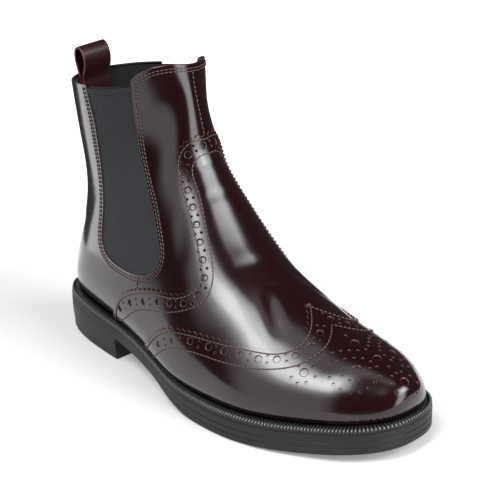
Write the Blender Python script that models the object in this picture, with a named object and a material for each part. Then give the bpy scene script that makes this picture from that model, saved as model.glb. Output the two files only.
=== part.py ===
"""Ankle boot for the right foot with winged toe cap, elastic gussets and a low-heeled rubber sole.

The boot stands empty on its sole. +z is up, the toe points to -y and the inner side of the foot is +x.
The origin lies on the ground under the middle of the heel. Lengths are in metres.
"""
import math

import bmesh
import bpy
import numpy as np

# Sizes of the last and the shaft
LAST_LENGTH = 0.262
BALL_WIDTH = 0.0922
INSTEP_HEIGHT = 0.1196
SHAFT_RISE = 0.0814
WALL = 0.0022

# Sizes of the sole
HEEL_HEIGHT = 0.0234
FOREPART_HEIGHT = 0.01375
TOE_SPRING = 0.0067
WAIST_THICKNESS = 0.0078
WELT_EXTENSION = 0.0094
WELT_THICKNESS = 0.0022
WELT_LIP = 0.0005
WELT_SET = 0.0002
HEEL_SHARE = 0.262
HEEL_TAPER = 0.0012
TOP_LIFT = 0.0036
GROOVE_DEPTH = 0.0005
GROOVE_WIDTH = 0.0010
INSOLE_THICKNESS = 0.0025
INSOLE_PLAY = 0.0014

# Sizes of the layers over the shell
SKIN_GAP = 0.0003
VAMP_THICKNESS = 0.0010
CAP_THICKNESS = 0.0017
GUSSET_RECESS = 0.0005
GUSSET_THICKNESS = 0.0012
GUSSET_DROP = 0.0012
LOOP_WIDTH = 0.020
LOOP_HEIGHT = 0.0175
LOOP_DEPTH = 0.0085
LOOP_TAIL = 0.014
LOOP_THICKNESS = 0.0014

# Fineness of the faceted shapes
COLUMNS = 26
TOE_ROWS = 5
FOOT_ROWS = 21
SHAFT_ROWS = 10
OUTLINE_STEPS = 34
ROW_EASE = 0.9

# The origin is this share of the last's length forward of the heel's back
ORIGIN_SHARE = 0.135

# Height of the seam between sole and leather: share of the way forward, then the shares of the heel
# height, of the forepart height and of the toe spring that are reached there
SOLE_LINE = (
    # forward, heel, forepart, spring
    (0.00, 1.000, 0.000, 0.00),
    (0.12, 0.990, 0.010, 0.00),
    (0.24, 0.834, 0.166, 0.00),
    (0.36, 0.590, 0.410, 0.00),
    (0.48, 0.160, 0.840, 0.00),
    (0.58, 0.000, 1.000, 0.00),
    (0.66, 0.000, 1.000, 0.02),
    (0.78, 0.000, 1.000, 0.18),
    (0.90, 0.000, 1.000, 0.56),
    (1.00, 0.000, 1.000, 1.00),
)

# Fans of the last from the toe's tip to above the collar. Each section runs from a base point under the
# foot to a crest point on top. Columns: crest's share of the length, of the instep height and of the
# shaft's rise; the same for the base; outer and inner half widths as shares of the ball width; share of
# the section's height where it is widest; fullness of its upper and lower quarters; drift to the inner
# side as a share of the ball width
STATIONS = (
    # name, crest length, instep, shaft, base length, instep, shaft, outer, inner, widest, crown, seat, drift
    ("tip", 1.000, 0.100, 0.000, 1.000, 0.100, 0.000, 0.000, 0.000, 0.420, 0.550, 0.600, 0.055),
    ("toe end", 0.992, 0.150, 0.000, 0.992, 0.020, 0.000, 0.110, 0.130, 0.354, 0.539, 0.630, 0.055),
    ("toe cap", 0.968, 0.183, 0.000, 0.968, -0.020, 0.000, 0.197, 0.229, 0.279, 0.522, 0.699, 0.053),
    ("toe box", 0.920, 0.235, 0.000, 0.920, -0.035, 0.000, 0.321, 0.328, 0.293, 0.525, 0.754, 0.048),
    ("toe root", 0.855, 0.287, 0.000, 0.855, -0.040, 0.000, 0.422, 0.398, 0.311, 0.512, 0.787, 0.038),
    ("joints", 0.775, 0.357, 0.000, 0.775, -0.040, 0.000, 0.506, 0.430, 0.271, 0.498, 0.815, 0.022),
    ("ball", 0.690, 0.453, 0.000, 0.690, -0.040, 0.000, 0.546, 0.446, 0.242, 0.505, 0.826, 0.005),
    ("waist", 0.610, 0.572, 0.000, 0.600, -0.040, 0.000, 0.539, 0.426, 0.208, 0.515, 0.818, -0.008),
    ("instep", 0.538, 0.717, 0.000, 0.500, -0.040, 0.000, 0.518, 0.404, 0.200, 0.537, 0.799, -0.012),
    ("arch", 0.480, 0.853, 0.000, 0.385, -0.040, 0.000, 0.466, 0.386, 0.246, 0.533, 0.762, -0.010),
    ("bend", 0.437, 0.967, 0.000, 0.255, -0.040, 0.000, 0.420, 0.374, 0.300, 0.530, 0.728, -0.005),
    ("ankle", 0.416, 1.000, 0.100, 0.126, -0.065, 0.000, 0.368, 0.382, 0.375, 0.559, 0.664, 0.000),
    ("heel", 0.403, 1.000, 0.240, 0.035, -0.019, 0.000, 0.309, 0.356, 0.463, 0.557, 0.582, 0.000),
    ("counter", 0.392, 1.000, 0.370, 0.037, 0.211, 0.000, 0.269, 0.335, 0.527, 0.556, 0.507, 0.000),
    ("neck", 0.385, 1.000, 0.500, 0.062, 0.520, 0.000, 0.274, 0.328, 0.553, 0.565, 0.491, 0.000),
    ("shin", 0.382, 1.000, 0.650, 0.058, 0.800, 0.000, 0.315, 0.331, 0.528, 0.567, 0.538, 0.000),
    ("calf", 0.382, 1.000, 0.820, 0.035, 1.000, 0.220, 0.334, 0.336, 0.502, 0.563, 0.563, 0.000),
    ("top", 0.383, 1.000, 1.020, 0.009, 1.000, 0.600, 0.343, 0.336, 0.495, 0.553, 0.562, 0.000),
    ("above", 0.385, 1.000, 1.250, -0.020, 1.000, 0.980, 0.349, 0.337, 0.491, 0.546, 0.558, 0.000),
)

# Width of the welt beside the leather, as a share of the welt extension
WELT_SPREAD = (
    # forward, share
    (0.00, 0.55),
    (0.10, 0.70),
    (0.25, 0.95),
    (0.45, 1.00),
    (0.65, 1.15),
    (0.80, 1.10),
    (0.93, 1.00),
    (1.00, 0.90),
)
INNER_SHARE = 0.85

# Side drawings: points as a share of the last's length and rises above the sole line as shares of the
# instep height and of the shaft's rise
COLLAR = (
    # forward, instep, shaft
    (-0.04, 1.00, 0.130),
    (0.05, 1.00, 0.170),
    (0.10, 1.00, 0.205),
    (0.17, 1.00, 0.258),
    (0.24, 1.00, 0.320),
    (0.295, 1.00, 0.378),
    (0.315, 1.00, 0.455),
    (0.345, 1.00, 0.530),
    (0.375, 1.00, 0.570),
    (0.44, 1.00, 0.585),
)
GUSSET = (
    # forward, instep, shaft
    (0.160, 1.000, 0.45),
    (0.170, 1.000, 0.25),
    (0.184, 0.960, 0.08),
    (0.183, 0.840, 0.00),
    (0.190, 0.700, 0.00),
    (0.207, 0.575, 0.00),
    (0.213, 0.475, 0.00),
    (0.222, 0.402, 0.00),
    (0.250, 0.368, 0.00),
    (0.302, 0.360, 0.00),
    (0.366, 0.383, 0.00),
    (0.400, 0.415, 0.00),
    (0.421, 0.455, 0.00),
    (0.431, 0.515, 0.00),
    (0.426, 0.560, 0.00),
    (0.409, 0.620, 0.00),
    (0.385, 0.700, 0.00),
    (0.350, 0.803, 0.00),
    (0.317, 0.900, 0.02),
    (0.302, 0.980, 0.08),
    (0.301, 1.000, 0.25),
    (0.305, 1.000, 0.55),
)
VAMP_EDGE = (
    # forward, instep, shaft
    (0.240, -0.100, 0.00),
    (0.262, 0.030, 0.00),
    (0.280, 0.150, 0.00),
    (0.311, 0.225, 0.00),
    (0.371, 0.316, 0.00),
    (0.460, 0.399, 0.00),
    (0.520, 0.446, 0.00),
    (0.541, 0.485, 0.00),
    (0.543, 0.515, 0.00),
    (0.527, 0.575, 0.00),
    (0.506, 0.640, 0.00),
    (0.479, 0.705, 0.00),
    (0.448, 0.783, 0.00),
    (0.419, 0.863, 0.00),
    (0.404, 0.935, 0.00),
    (0.399, 0.980, 0.00),
    (0.407, 1.000, 0.04),
    (0.440, 1.000, 0.09),
    (0.500, 1.000, 0.18),
)
CAP_EDGE = (
    # forward, instep, shaft
    (0.395, -0.100, 0.00),
    (0.418, 0.040, 0.00),
    (0.430, 0.130, 0.00),
    (0.451, 0.198, 0.00),
    (0.474, 0.235, 0.00),
    (0.515, 0.280, 0.00),
    (0.569, 0.302, 0.00),
    (0.631, 0.304, 0.00),
    (0.686, 0.301, 0.00),
    (0.725, 0.294, 0.00),
    (0.760, 0.292, 0.00),
    (0.777, 0.306, 0.00),
    (0.777, 0.332, 0.00),
    (0.762, 0.365, 0.00),
    (0.722, 0.412, 0.00),
    (0.700, 0.500, 0.00),
)


def natural_spline(knots, values, at):
    """Return the natural cubic spline through values at the knots, a column at a time."""
    knots = np.asarray(knots, float)
    values = np.asarray(values, float)
    count = len(knots)
    step = np.diff(knots)
    matrix = np.zeros((count, count))
    right = np.zeros((count, values.shape[1]))
    matrix[0, 0] = 1.0
    matrix[-1, -1] = 1.0
    for i in range(1, count - 1):
        matrix[i, i - 1] = step[i - 1]
        matrix[i, i] = 2 * (step[i - 1] + step[i])
        matrix[i, i + 1] = step[i]
        right[i] = 6 * ((values[i + 1] - values[i]) / step[i] - (values[i] - values[i - 1]) / step[i - 1])
    bend = np.linalg.solve(matrix, right)
    at = np.asarray(at, float)
    i = np.clip(np.searchsorted(knots, at) - 1, 0, count - 2)
    after = (at - knots[i])[..., None]
    before = (knots[i + 1] - at)[..., None]
    width = step[i][..., None]
    curved = (bend[i] * before**3 + bend[i + 1] * after**3) / (6 * width)
    low = (values[i] / width - bend[i] * width / 6) * before
    high = (values[i + 1] / width - bend[i + 1] * width / 6) * after
    return curved + low + high


def sole_line(forward):
    """Return the height of the seam between sole and leather at a share of the way forward."""
    table = np.array(SOLE_LINE)
    shares = natural_spline(table[:, 0], table[:, 1:], np.clip(forward, -0.05, 1.06))
    return shares[..., 0] * HEEL_HEIGHT + shares[..., 1] * FOREPART_HEIGHT + shares[..., 2] * TOE_SPRING


def forward_of(y):
    """Return the share of the last's length at a y of the row's frame."""
    return ORIGIN_SHARE - np.asarray(y) / LAST_LENGTH


def y_of(forward):
    """Return the y in the row's frame at a share of the last's length."""
    return (ORIGIN_SHARE - np.asarray(forward)) * LAST_LENGTH


def side_point(forward, instep, shaft):
    """Return (y, z) of a point of a side drawing."""
    rise = np.asarray(instep) * INSTEP_HEIGHT + np.asarray(shaft) * SHAFT_RISE
    return y_of(forward), sole_line(forward) + rise


def last_table():
    """Return the knots and rows of the last: crest y z, base y z, widths and shape shares."""
    table = np.array([row[1:] for row in STATIONS])
    crest_y, crest_z = side_point(table[:, 0], table[:, 1], table[:, 2])
    base_y, base_z = side_point(table[:, 3], table[:, 4], table[:, 5])
    widths = table[:, 6:8] * BALL_WIDTH
    drift = table[:, 11:12] * BALL_WIDTH
    ends = np.stack([crest_y, crest_z, base_y, base_z], 1)
    rows = np.concatenate([ends, widths, table[:, 8:11], drift], 1)
    crest_run = np.linalg.norm(np.diff(ends[:, 0:2], axis=0), axis=1)
    base_run = np.linalg.norm(np.diff(ends[:, 2:4], axis=0), axis=1)
    knots = np.concatenate([[0.0], np.cumsum(0.6 * crest_run + 0.4 * base_run)])
    return knots, rows


def last_values(along):
    """Return the table's values between its rows, 0 at the toe's tip and 1 at the last row.

    The rows are mirrored past the tip, crest for base, so that the toe closes smoothly.
    """
    knots, rows = last_table()
    mirror_count = 5
    back = rows[1:mirror_count + 1][::-1]
    mirrored = back.copy()
    mirrored[:, 0:4] = back[:, [2, 3, 0, 1]]
    mirrored[:, 4:6] = -back[:, 4:6]
    all_knots = np.concatenate([-knots[1:mirror_count + 1][::-1], knots])
    all_rows = np.concatenate([mirrored, rows])
    return natural_spline(all_knots, all_rows, np.asarray(along, float) * knots[-1])


def quarter(p0, p1, p2, p3, steps=60):
    """Return the points of one cubic curve."""
    s = np.linspace(0.0, 1.0, steps)[:, None]
    return (1 - s)**3 * p0 + 3 * (1 - s)**2 * s * p1 + 3 * (1 - s) * s**2 * p2 + s**3 * p3


def half_section(across, rise, widest, crown, seat):
    """Return one side of a section from base to crest as (across, up) points."""
    waist = widest * rise
    tuck = min(seat, 0.62)
    low = quarter(
        np.array([0.0, 0.0]), np.array([seat * across, 0.0]),
        np.array([across, waist * (1 - tuck)]), np.array([across, waist]),
    )
    high = quarter(
        np.array([across, waist]), np.array([across, waist + crown * (rise - waist)]),
        np.array([crown * across, rise]), np.array([0.0, rise]),
    )
    return np.concatenate([low, high[1:]])


def section(values, around):
    """Return points of one section at the shares around: 0 base, 0.5 crest, below 0.5 the outer side."""
    base = values[2:4]
    up = values[0:2] - base
    rise = float(np.hypot(up[0], up[1]))
    if rise < 1e-9:
        return np.tile([values[9], base[0], base[1]], (len(around), 1))
    unit = up / rise
    around = np.asarray(around, float)
    points = np.zeros((len(around), 2))
    for outer in (True, False):
        pick = around <= 0.5 if outer else around > 0.5
        width = values[4] if outer else values[5]
        side = half_section(width, rise, values[6], values[7], values[8])
        run = np.concatenate([[0.0], np.cumsum(np.linalg.norm(np.diff(side, axis=0), axis=1))])
        share = around[pick] * 2 if outer else (1 - around[pick]) * 2
        sign = -1.0 if outer else 1.0
        points[pick, 0] = sign * np.interp(share * run[-1], run, side[:, 0])
        points[pick, 1] = np.interp(share * run[-1], run, side[:, 1])
    x = points[:, 0] + values[9]
    y = base[0] + points[:, 1] * unit[0]
    z = base[1] + points[:, 1] * unit[1]
    return np.stack([x, y, z], 1)


def last_points(along, around):
    """Return the last's points for rows of along, each with its own row of around."""
    values = last_values(np.clip(along, 0.0, 1.0))
    return np.stack([section(row, turns) for row, turns in zip(values, around)])


def last_normals(along, around):
    """Return outward unit normals of the last."""
    along = np.asarray(along, float)
    low = np.maximum(along - 0.004, 0.0005)
    high = np.minimum(along + 0.004, 1.0)
    reach = 0.004
    lengthwise = last_points(high, around) - last_points(low, around)
    crosswise = last_points(np.maximum(along, 0.002), np.mod(around + reach, 1.0))
    crosswise = crosswise - last_points(np.maximum(along, 0.002), np.mod(around - reach, 1.0))
    normal = np.cross(crosswise, lengthwise)
    return normal / np.maximum(np.linalg.norm(normal, axis=2), 1e-12)[..., None]


def seam_height(y):
    """Return the height where the welt's top meets the leather."""
    return sole_line(forward_of(y)) + WELT_LIP


def foot_cut(along, outer):
    """Return the share around where a section crosses the seam on one side, or None if it does not."""
    turns = np.linspace(0.0, 0.5, 121)
    if not outer:
        turns = (1.0 - turns) % 1.0
    values = last_values(np.array([along]))[0]
    points = section(values, turns)
    above = points[:, 2] - seam_height(points[:, 1])
    if above[0] >= 0:
        return None
    first = int(np.argmax(above > 0))
    share = above[first - 1] / (above[first - 1] - above[first])
    start = first - 1 + share
    reach = start / 120 * 0.5
    return reach if outer else 1.0 - reach


def open_span():
    """Return the along values between which the sections are open underneath."""
    along = np.linspace(0.001, 0.9, 900)
    values = last_values(along)
    below = values[:, 3] < seam_height(values[:, 2])
    inside = np.nonzero(below)[0]
    ends = []
    for i, j in ((inside[0] - 1, inside[0]), (inside[-1], inside[-1] + 1)):
        low, high = along[i], along[j]
        for _ in range(30):
            middle = 0.5 * (low + high)
            row = last_values(np.array([middle]))[0]
            if (row[3] < seam_height(row[2])) == bool(below[i]):
                low = middle
            else:
                high = middle
        ends.append(0.5 * (low + high))
    return ends[0], ends[1]


def collar_along(around, start):
    """Return for each share around the along value where the last meets the collar's line."""
    table = np.array(COLLAR)
    line_y, line_z = side_point(table[:, 0], table[:, 1], table[:, 2])
    order = np.argsort(line_y)
    along = np.linspace(start, 1.0, 90)
    points = last_points(along, np.tile(around, (len(along), 1)))
    over = points[..., 2] - np.interp(points[..., 1], line_y[order], line_z[order])
    found = np.empty(len(around))
    for column in range(len(around)):
        first = int(np.argmax(over[:, column] > 0))
        share = over[first - 1, column] / (over[first - 1, column] - over[first, column])
        found[column] = along[first - 1] + share * (along[first] - along[first - 1])
    return found


def shell_rows():
    """Return along and around for the shell's rows, and which rows are closed rings."""
    toe, heel = open_span()
    along = []
    around = []
    closed = []
    even = np.linspace(0.0, 1.0, COLUMNS + 1)
    for i in range(TOE_ROWS):
        along.append(np.full(COLUMNS + 1, toe * i / TOE_ROWS))
        around.append(even)
        closed.append(True)
    for i in range(FOOT_ROWS + 1):
        share = i / FOOT_ROWS
        eased = share + ROW_EASE * (0.5 - 0.5 * math.cos(math.pi * share) - share)
        position = toe + (heel - toe) * eased
        if i == 0 or i == FOOT_ROWS:
            around.append(even)
            closed.append(True)
        else:
            outer = foot_cut(position, True)
            inner = foot_cut(position, False)
            around.append(outer + (inner - outer) * even)
            closed.append(False)
        along.append(np.full(COLUMNS + 1, position))
    collar = collar_along(even, heel)
    collar[-1] = collar[0]
    for i in range(1, SHAFT_ROWS + 1):
        share = i / SHAFT_ROWS
        along.append(heel + (collar - heel) * share)
        around.append(even)
        closed.append(True)
    return np.array(along), np.array(around), closed


def grid_points(along, around, offset):
    """Return the last's points, moved outwards by offset, for a grid whose along may differ in a row."""
    flat_along = along.ravel()
    flat_around = around.ravel()[:, None]
    points = last_points(flat_along, flat_around)[:, 0].reshape(along.shape + (3,))
    normals = last_normals(flat_along, flat_around)[:, 0].reshape(along.shape + (3,))
    if float(along[0].max()) < 1e-9:
        tip = normals[0].mean(axis=0)
        normals[0] = tip / np.linalg.norm(tip)
    return points + normals * offset, normals


def mesh_object(name, vertices, faces, material, collection):
    """Make a closed mesh object with outward faces."""
    mesh = bpy.data.meshes.new(name)
    mesh.from_pydata([tuple(v) for v in vertices], [], faces)
    body = bmesh.new()
    body.from_mesh(mesh)
    bmesh.ops.remove_doubles(body, verts=body.verts, dist=1e-6)
    bmesh.ops.triangulate(body, faces=body.faces)
    bmesh.ops.recalc_face_normals(body, faces=body.faces)
    if body.calc_volume(signed=True) < 0:
        bmesh.ops.reverse_faces(body, faces=body.faces)
    body.to_mesh(mesh)
    body.free()
    made = bpy.data.objects.new(name, mesh)
    if material is not None:
        mesh.materials.append(material)
    collection.objects.link(made)
    return made


def facet_normals(points, faces, guide):
    """Return unit normals at the points of a faceted surface, on the side of the guide normals."""
    corners = np.array(faces)
    first = points[corners[:, 0]]
    areas = np.cross(points[corners[:, 1]] - first, points[corners[:, 2]] - first)
    normals = np.zeros_like(points)
    for i in range(3):
        np.add.at(normals, corners[:, i], areas)
    if np.sum(normals * guide) < 0:
        normals = -normals
    return normals / np.maximum(np.linalg.norm(normals, axis=1), 1e-15)[:, None]


def shell_body(name, outside, inside, material, collection, lower=None):
    """Make a wall between two offsets of the last over the shell's rows.

    outside, inside: offsets of the two faces from the last's surface.
    lower: height function for a straight skirt under the seam, or None.
    """
    along, around, closed = shell_rows()
    surface, analytic = grid_points(along, around, 0.0)
    row_count, column_count = along.shape
    number = {}
    key = {}
    for row in range(row_count):
        for column in range(column_count):
            place = (row, column)
            if closed[row] and column == column_count - 1:
                place = (row, 0)
            if row == 0:
                place = (0, 0)
            if place not in number:
                number[place] = len(number)
            key[(row, column)] = number[place]
    places = sorted(number, key=number.get)
    count = len(places)
    faces = []
    for first, second in zip(range(row_count - 1), range(1, row_count)):
        for column in range(column_count - 1):
            a, b = key[(first, column)], key[(first, column + 1)]
            c, d = key[(second, column + 1)], key[(second, column)]
            one = surface[first, column] - surface[second, column + 1]
            other = surface[first, column + 1] - surface[second, column]
            split = ((a, b, c), (a, c, d)) if one @ one < other @ other else ((a, b, d), (b, c, d))
            for corners in split:
                if len(set(corners)) == 3:
                    faces.append(corners)
    base = np.array([surface[p] for p in places])
    outward = facet_normals(base, faces, np.array([analytic[p] for p in places]))
    edges = {}
    for corners in faces:
        for i in range(3):
            edge = (corners[i], corners[(i + 1) % 3])
            edges[edge] = edges.get(edge, 0) + 1
    rim = [edge for edge in edges if (edge[1], edge[0]) not in edges]
    foot = set()
    for row in range(row_count):
        if not closed[row]:
            foot.add(key[(row, 0)])
            foot.add(key[(row, column_count - 1)])
        elif row in (TOE_ROWS, TOE_ROWS + FOOT_ROWS):
            foot.add(key[(row, 0)])
    points = list(base + outward * outside) + list(base + outward * inside)
    skirt = {}
    for corner in sorted(foot) if lower is not None else ():
        sideways = outward[corner] * np.array([1.0, 1.0, 0.0])
        sideways = sideways / max(np.linalg.norm(sideways), 1e-9)
        inner_edge = points[corner] - sideways * (outside - inside)
        inner_edge[2] = seam_height(inner_edge[1])
        points[count + corner] = inner_edge
        for kind, top in ((0, points[corner]), (1, inner_edge)):
            drop = top.copy()
            drop[2] = lower(top[1])
            skirt[(corner, kind)] = len(points)
            points.append(drop)
    body = [tuple(corners) for corners in faces]
    body += [(c + count, b + count, a + count) for a, b, c in faces]
    for a, b in rim:
        if lower is not None and a in foot and b in foot:
            low_a, low_b = skirt[(a, 0)], skirt[(b, 0)]
            deep_a, deep_b = skirt[(a, 1)], skirt[(b, 1)]
            body += [(b, a, low_a, low_b), (low_b, low_a, deep_a, deep_b)]
            body.append((deep_b, deep_a, a + count, b + count))
        else:
            body.append((b, a, a + count, b + count))
    return mesh_object(name, points, body, material, collection)


def feather_line():
    """Return the leather's outline at the seam: outer and inner (x, y) from the heel's back to the toe."""
    toe, heel = open_span()
    share = 0.5 - 0.5 * np.cos(np.linspace(0.0, math.pi, 121))
    along = heel + (toe - heel) * share
    lines = []
    for outer in (True, False):
        points = []
        for position in along:
            turn = foot_cut(position, outer)
            if turn is None:
                turn = 0.0
            points.append(last_points(np.array([position]), np.array([[turn]]))[0, 0, 0:2])
        lines.append(np.array(points))
    middle = 0.5 * (lines[0][[0, -1]] + lines[1][[0, -1]])
    for line in lines:
        line[[0, -1]] = middle
    return lines[0], lines[1]


def outline(feather, spread, plain=0.0):
    """Return the outline offset outwards by shares of the welt extension and by a plain distance."""
    outer, inner = feather
    loop = np.concatenate([outer, inner[::-1][1:-1]])
    tangent = np.roll(loop, -1, axis=0) - np.roll(loop, 1, axis=0)
    normal = np.stack([-tangent[:, 1], tangent[:, 0]], 1)
    normal = normal / np.maximum(np.linalg.norm(normal, axis=1), 1e-12)[:, None]
    if np.sum((loop - loop.mean(axis=0)) * normal) < 0:
        normal = -normal
    table = np.array(WELT_SPREAD)
    share = np.interp(forward_of(loop[:, 1]), table[:, 0], table[:, 1])
    inner_side = 1.0 - (1.0 - INNER_SHARE) * np.clip((loop[:, 0] - loop[:, 0].mean()) / (0.3 * BALL_WIDTH), 0, 1)
    reach = spread * WELT_EXTENSION * share * inner_side + plain
    moved = loop + normal * reach[:, None]
    count = len(outer)
    outer_line = moved[:count]
    inner_line = np.concatenate([moved[:1], moved[count:][::-1], moved[count - 1:count]])
    return outer_line, inner_line


def rungs(lines, steps, front=None):
    """Return matching points of both sides at even turns from the heel's back to the toe.

    front: y of a straight front end, or None for the toe's tip.
    """
    outer, inner = lines
    back_y = max(outer[:, 1].max(), inner[:, 1].max())
    toe_y = min(outer[:, 1].min(), inner[:, 1].min())
    sides = []
    if front is None:
        share = 0.5 - 0.5 * np.cos(np.linspace(0.0, math.pi, steps + 1))
        station = back_y + (toe_y - back_y) * share
    else:
        share = 1.0 - np.cos(np.linspace(0.0, 0.5 * math.pi, steps + 1))
        station = back_y + (front - back_y) * share
    for line in (outer, inner):
        order = np.argsort(line[:, 1])
        sides.append(np.interp(station, line[order, 1], line[order, 0]))
    tip = 0.5 * (sides[0][0] + sides[1][0])
    sides[0][0] = sides[1][0] = tip
    if front is None:
        tip = 0.5 * (sides[0][-1] + sides[1][-1])
        sides[0][-1] = sides[1][-1] = tip
    return sides[0], sides[1], station


def plate_body(name, levels, steps, material, collection, front=None):
    """Make a solid from stacked outlines.

    levels: list of (outline lines, height function of y) from top to bottom.
    """
    points = []
    count = 2 * (steps + 1)
    for lines, height in levels:
        outer_x, inner_x, station = rungs(lines, steps, front)
        z = height(station)
        for x in (outer_x, inner_x):
            points += [(x[i], station[i], z[i]) for i in range(steps + 1)]
    faces = []
    last = len(levels) - 1
    for level, turn in ((0, 1), (last, -1)):
        start = level * count
        for i in range(steps):
            face = [start + i, start + i + 1, start + steps + 2 + i, start + steps + 1 + i]
            faces.append(tuple(face[::turn]))
    for level in range(last):
        start, below = level * count, (level + 1) * count
        for shift in (0, steps + 1):
            for i in range(steps):
                a, b = start + shift + i, start + shift + i + 1
                c, d = below + shift + i + 1, below + shift + i
                faces.append((a, b, c, d))
        if front is not None:
            a, b = start + steps, start + 2 * steps + 1
            c, d = below + 2 * steps + 1, below + steps
            faces.append((a, b, c, d))
    return mesh_object(name, points, faces, material, collection)


def ring_body(name, corners, steps, material, collection):
    """Make a closed band from corner outlines given in order round its cross section."""
    points = []
    count = 2 * steps
    for lines, height in corners:
        outer_x, inner_x, station = rungs(lines, steps)
        z = height(station)
        points += [(outer_x[i], station[i], z[i]) for i in range(steps + 1)]
        points += [(inner_x[i], station[i], z[i]) for i in range(steps - 1, 0, -1)]
    faces = []
    total = len(corners)
    for corner in range(total):
        start, after = corner * count, ((corner + 1) % total) * count
        for i in range(count):
            j = (i + 1) % count
            faces.append((start + i, start + j, after + j, after + i))
    return mesh_object(name, points, faces, material, collection)


def prism_body(name, outline_points, low_x, high_x, collection):
    """Make a cutter: a side drawing's outline stretched across the boot."""
    points = [(low_x, y, z) for y, z in outline_points]
    points += [(high_x, y, z) for y, z in outline_points]
    count = len(outline_points)
    faces = [tuple(range(count)), tuple(range(2 * count - 1, count - 1, -1))]
    for i in range(count):
        j = (i + 1) % count
        faces.append((i, j, j + count, i + count))
    cutter = mesh_object(name, points, faces, None, collection)
    cutter.hide_render = True
    cutter.display_type = "WIRE"
    return cutter


def cut(body, cutter, operation):
    """Apply one exact Boolean to a body."""
    modifier = body.modifiers.new(cutter.name, "BOOLEAN")
    modifier.operation = operation
    modifier.solver = "EXACT"
    modifier.object = cutter
    depsgraph = bpy.context.evaluated_depsgraph_get()
    made = bpy.data.meshes.new_from_object(body.evaluated_get(depsgraph))
    materials = list(body.data.materials)
    body.modifiers.clear()
    body.data = made
    body.data.materials.clear()
    for material in materials:
        body.data.materials.append(material)
    tidy = bmesh.new()
    tidy.from_mesh(made)
    bmesh.ops.remove_doubles(tidy, verts=tidy.verts, dist=2e-5)
    bmesh.ops.dissolve_degenerate(tidy, edges=tidy.edges, dist=1e-5)
    bmesh.ops.triangulate(tidy, faces=tidy.faces)
    tidy.to_mesh(made)
    tidy.free()


def drawn(table):
    """Return a side drawing's table as an array of (y, z)."""
    rows = np.array(table)
    y, z = side_point(rows[:, 0], rows[:, 1], rows[:, 2])
    return np.stack([y, z], 1)


def moved_line(line, distance):
    """Return a line of a side drawing moved sideways, to its left in the order of its points."""
    tangent = np.gradient(line, axis=0)
    normal = np.stack([-tangent[:, 1], tangent[:, 0]], 1)
    normal = normal / np.maximum(np.linalg.norm(normal, axis=1), 1e-12)[:, None]
    return line + normal * distance


def clipped_below(area, line):
    """Return the part of a side drawing's area that lies below a straight line of two points."""
    slope = (line[1, 1] - line[0, 1]) / (line[1, 0] - line[0, 0])
    over = area[:, 1] - line[0, 1] - slope * (area[:, 0] - line[0, 0])
    kept = []
    for i in range(len(area)):
        j = (i + 1) % len(area)
        if over[i] <= 0:
            kept.append(area[i])
        if (over[i] <= 0) != (over[j] <= 0):
            share = over[i] / (over[i] - over[j])
            kept.append(area[i] + share * (area[j] - area[i]))
    return np.array(kept)


def material(name, colour, roughness):
    """Make a plain Principled material."""
    made = bpy.data.materials.new(name)
    made.use_nodes = True
    shader = made.node_tree.nodes["Principled BSDF"]
    shader.inputs["Base Color"].default_value = (*colour, 1.0)
    shader.inputs["Roughness"].default_value = roughness
    made.diffuse_color = (*colour, 1.0)
    return made


def collection_for(name):
    """Make a collection in the scene."""
    made = bpy.data.collections.new(name)
    bpy.context.scene.collection.children.link(made)
    return made


def underside(y):
    """Return the height of the outsole's lower face: flat under the ball, raised at the waist and toe."""
    forward = forward_of(y)
    table = np.array(SOLE_LINE)
    spring = natural_spline(table[:, 0], table[:, 3:4], np.clip(forward, 0.0, 1.06))[..., 0]
    ground = TOE_SPRING * np.clip((spring - 0.05) / 0.95, 0.0, None)
    ease = np.clip((0.60 - forward) / 0.16, 0.0, 1.0)
    ease = ease * ease * (3 - 2 * ease)
    spare = np.maximum(sole_line(forward) - ground - WAIST_THICKNESS, 0.0)
    return ground + ease * spare


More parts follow.
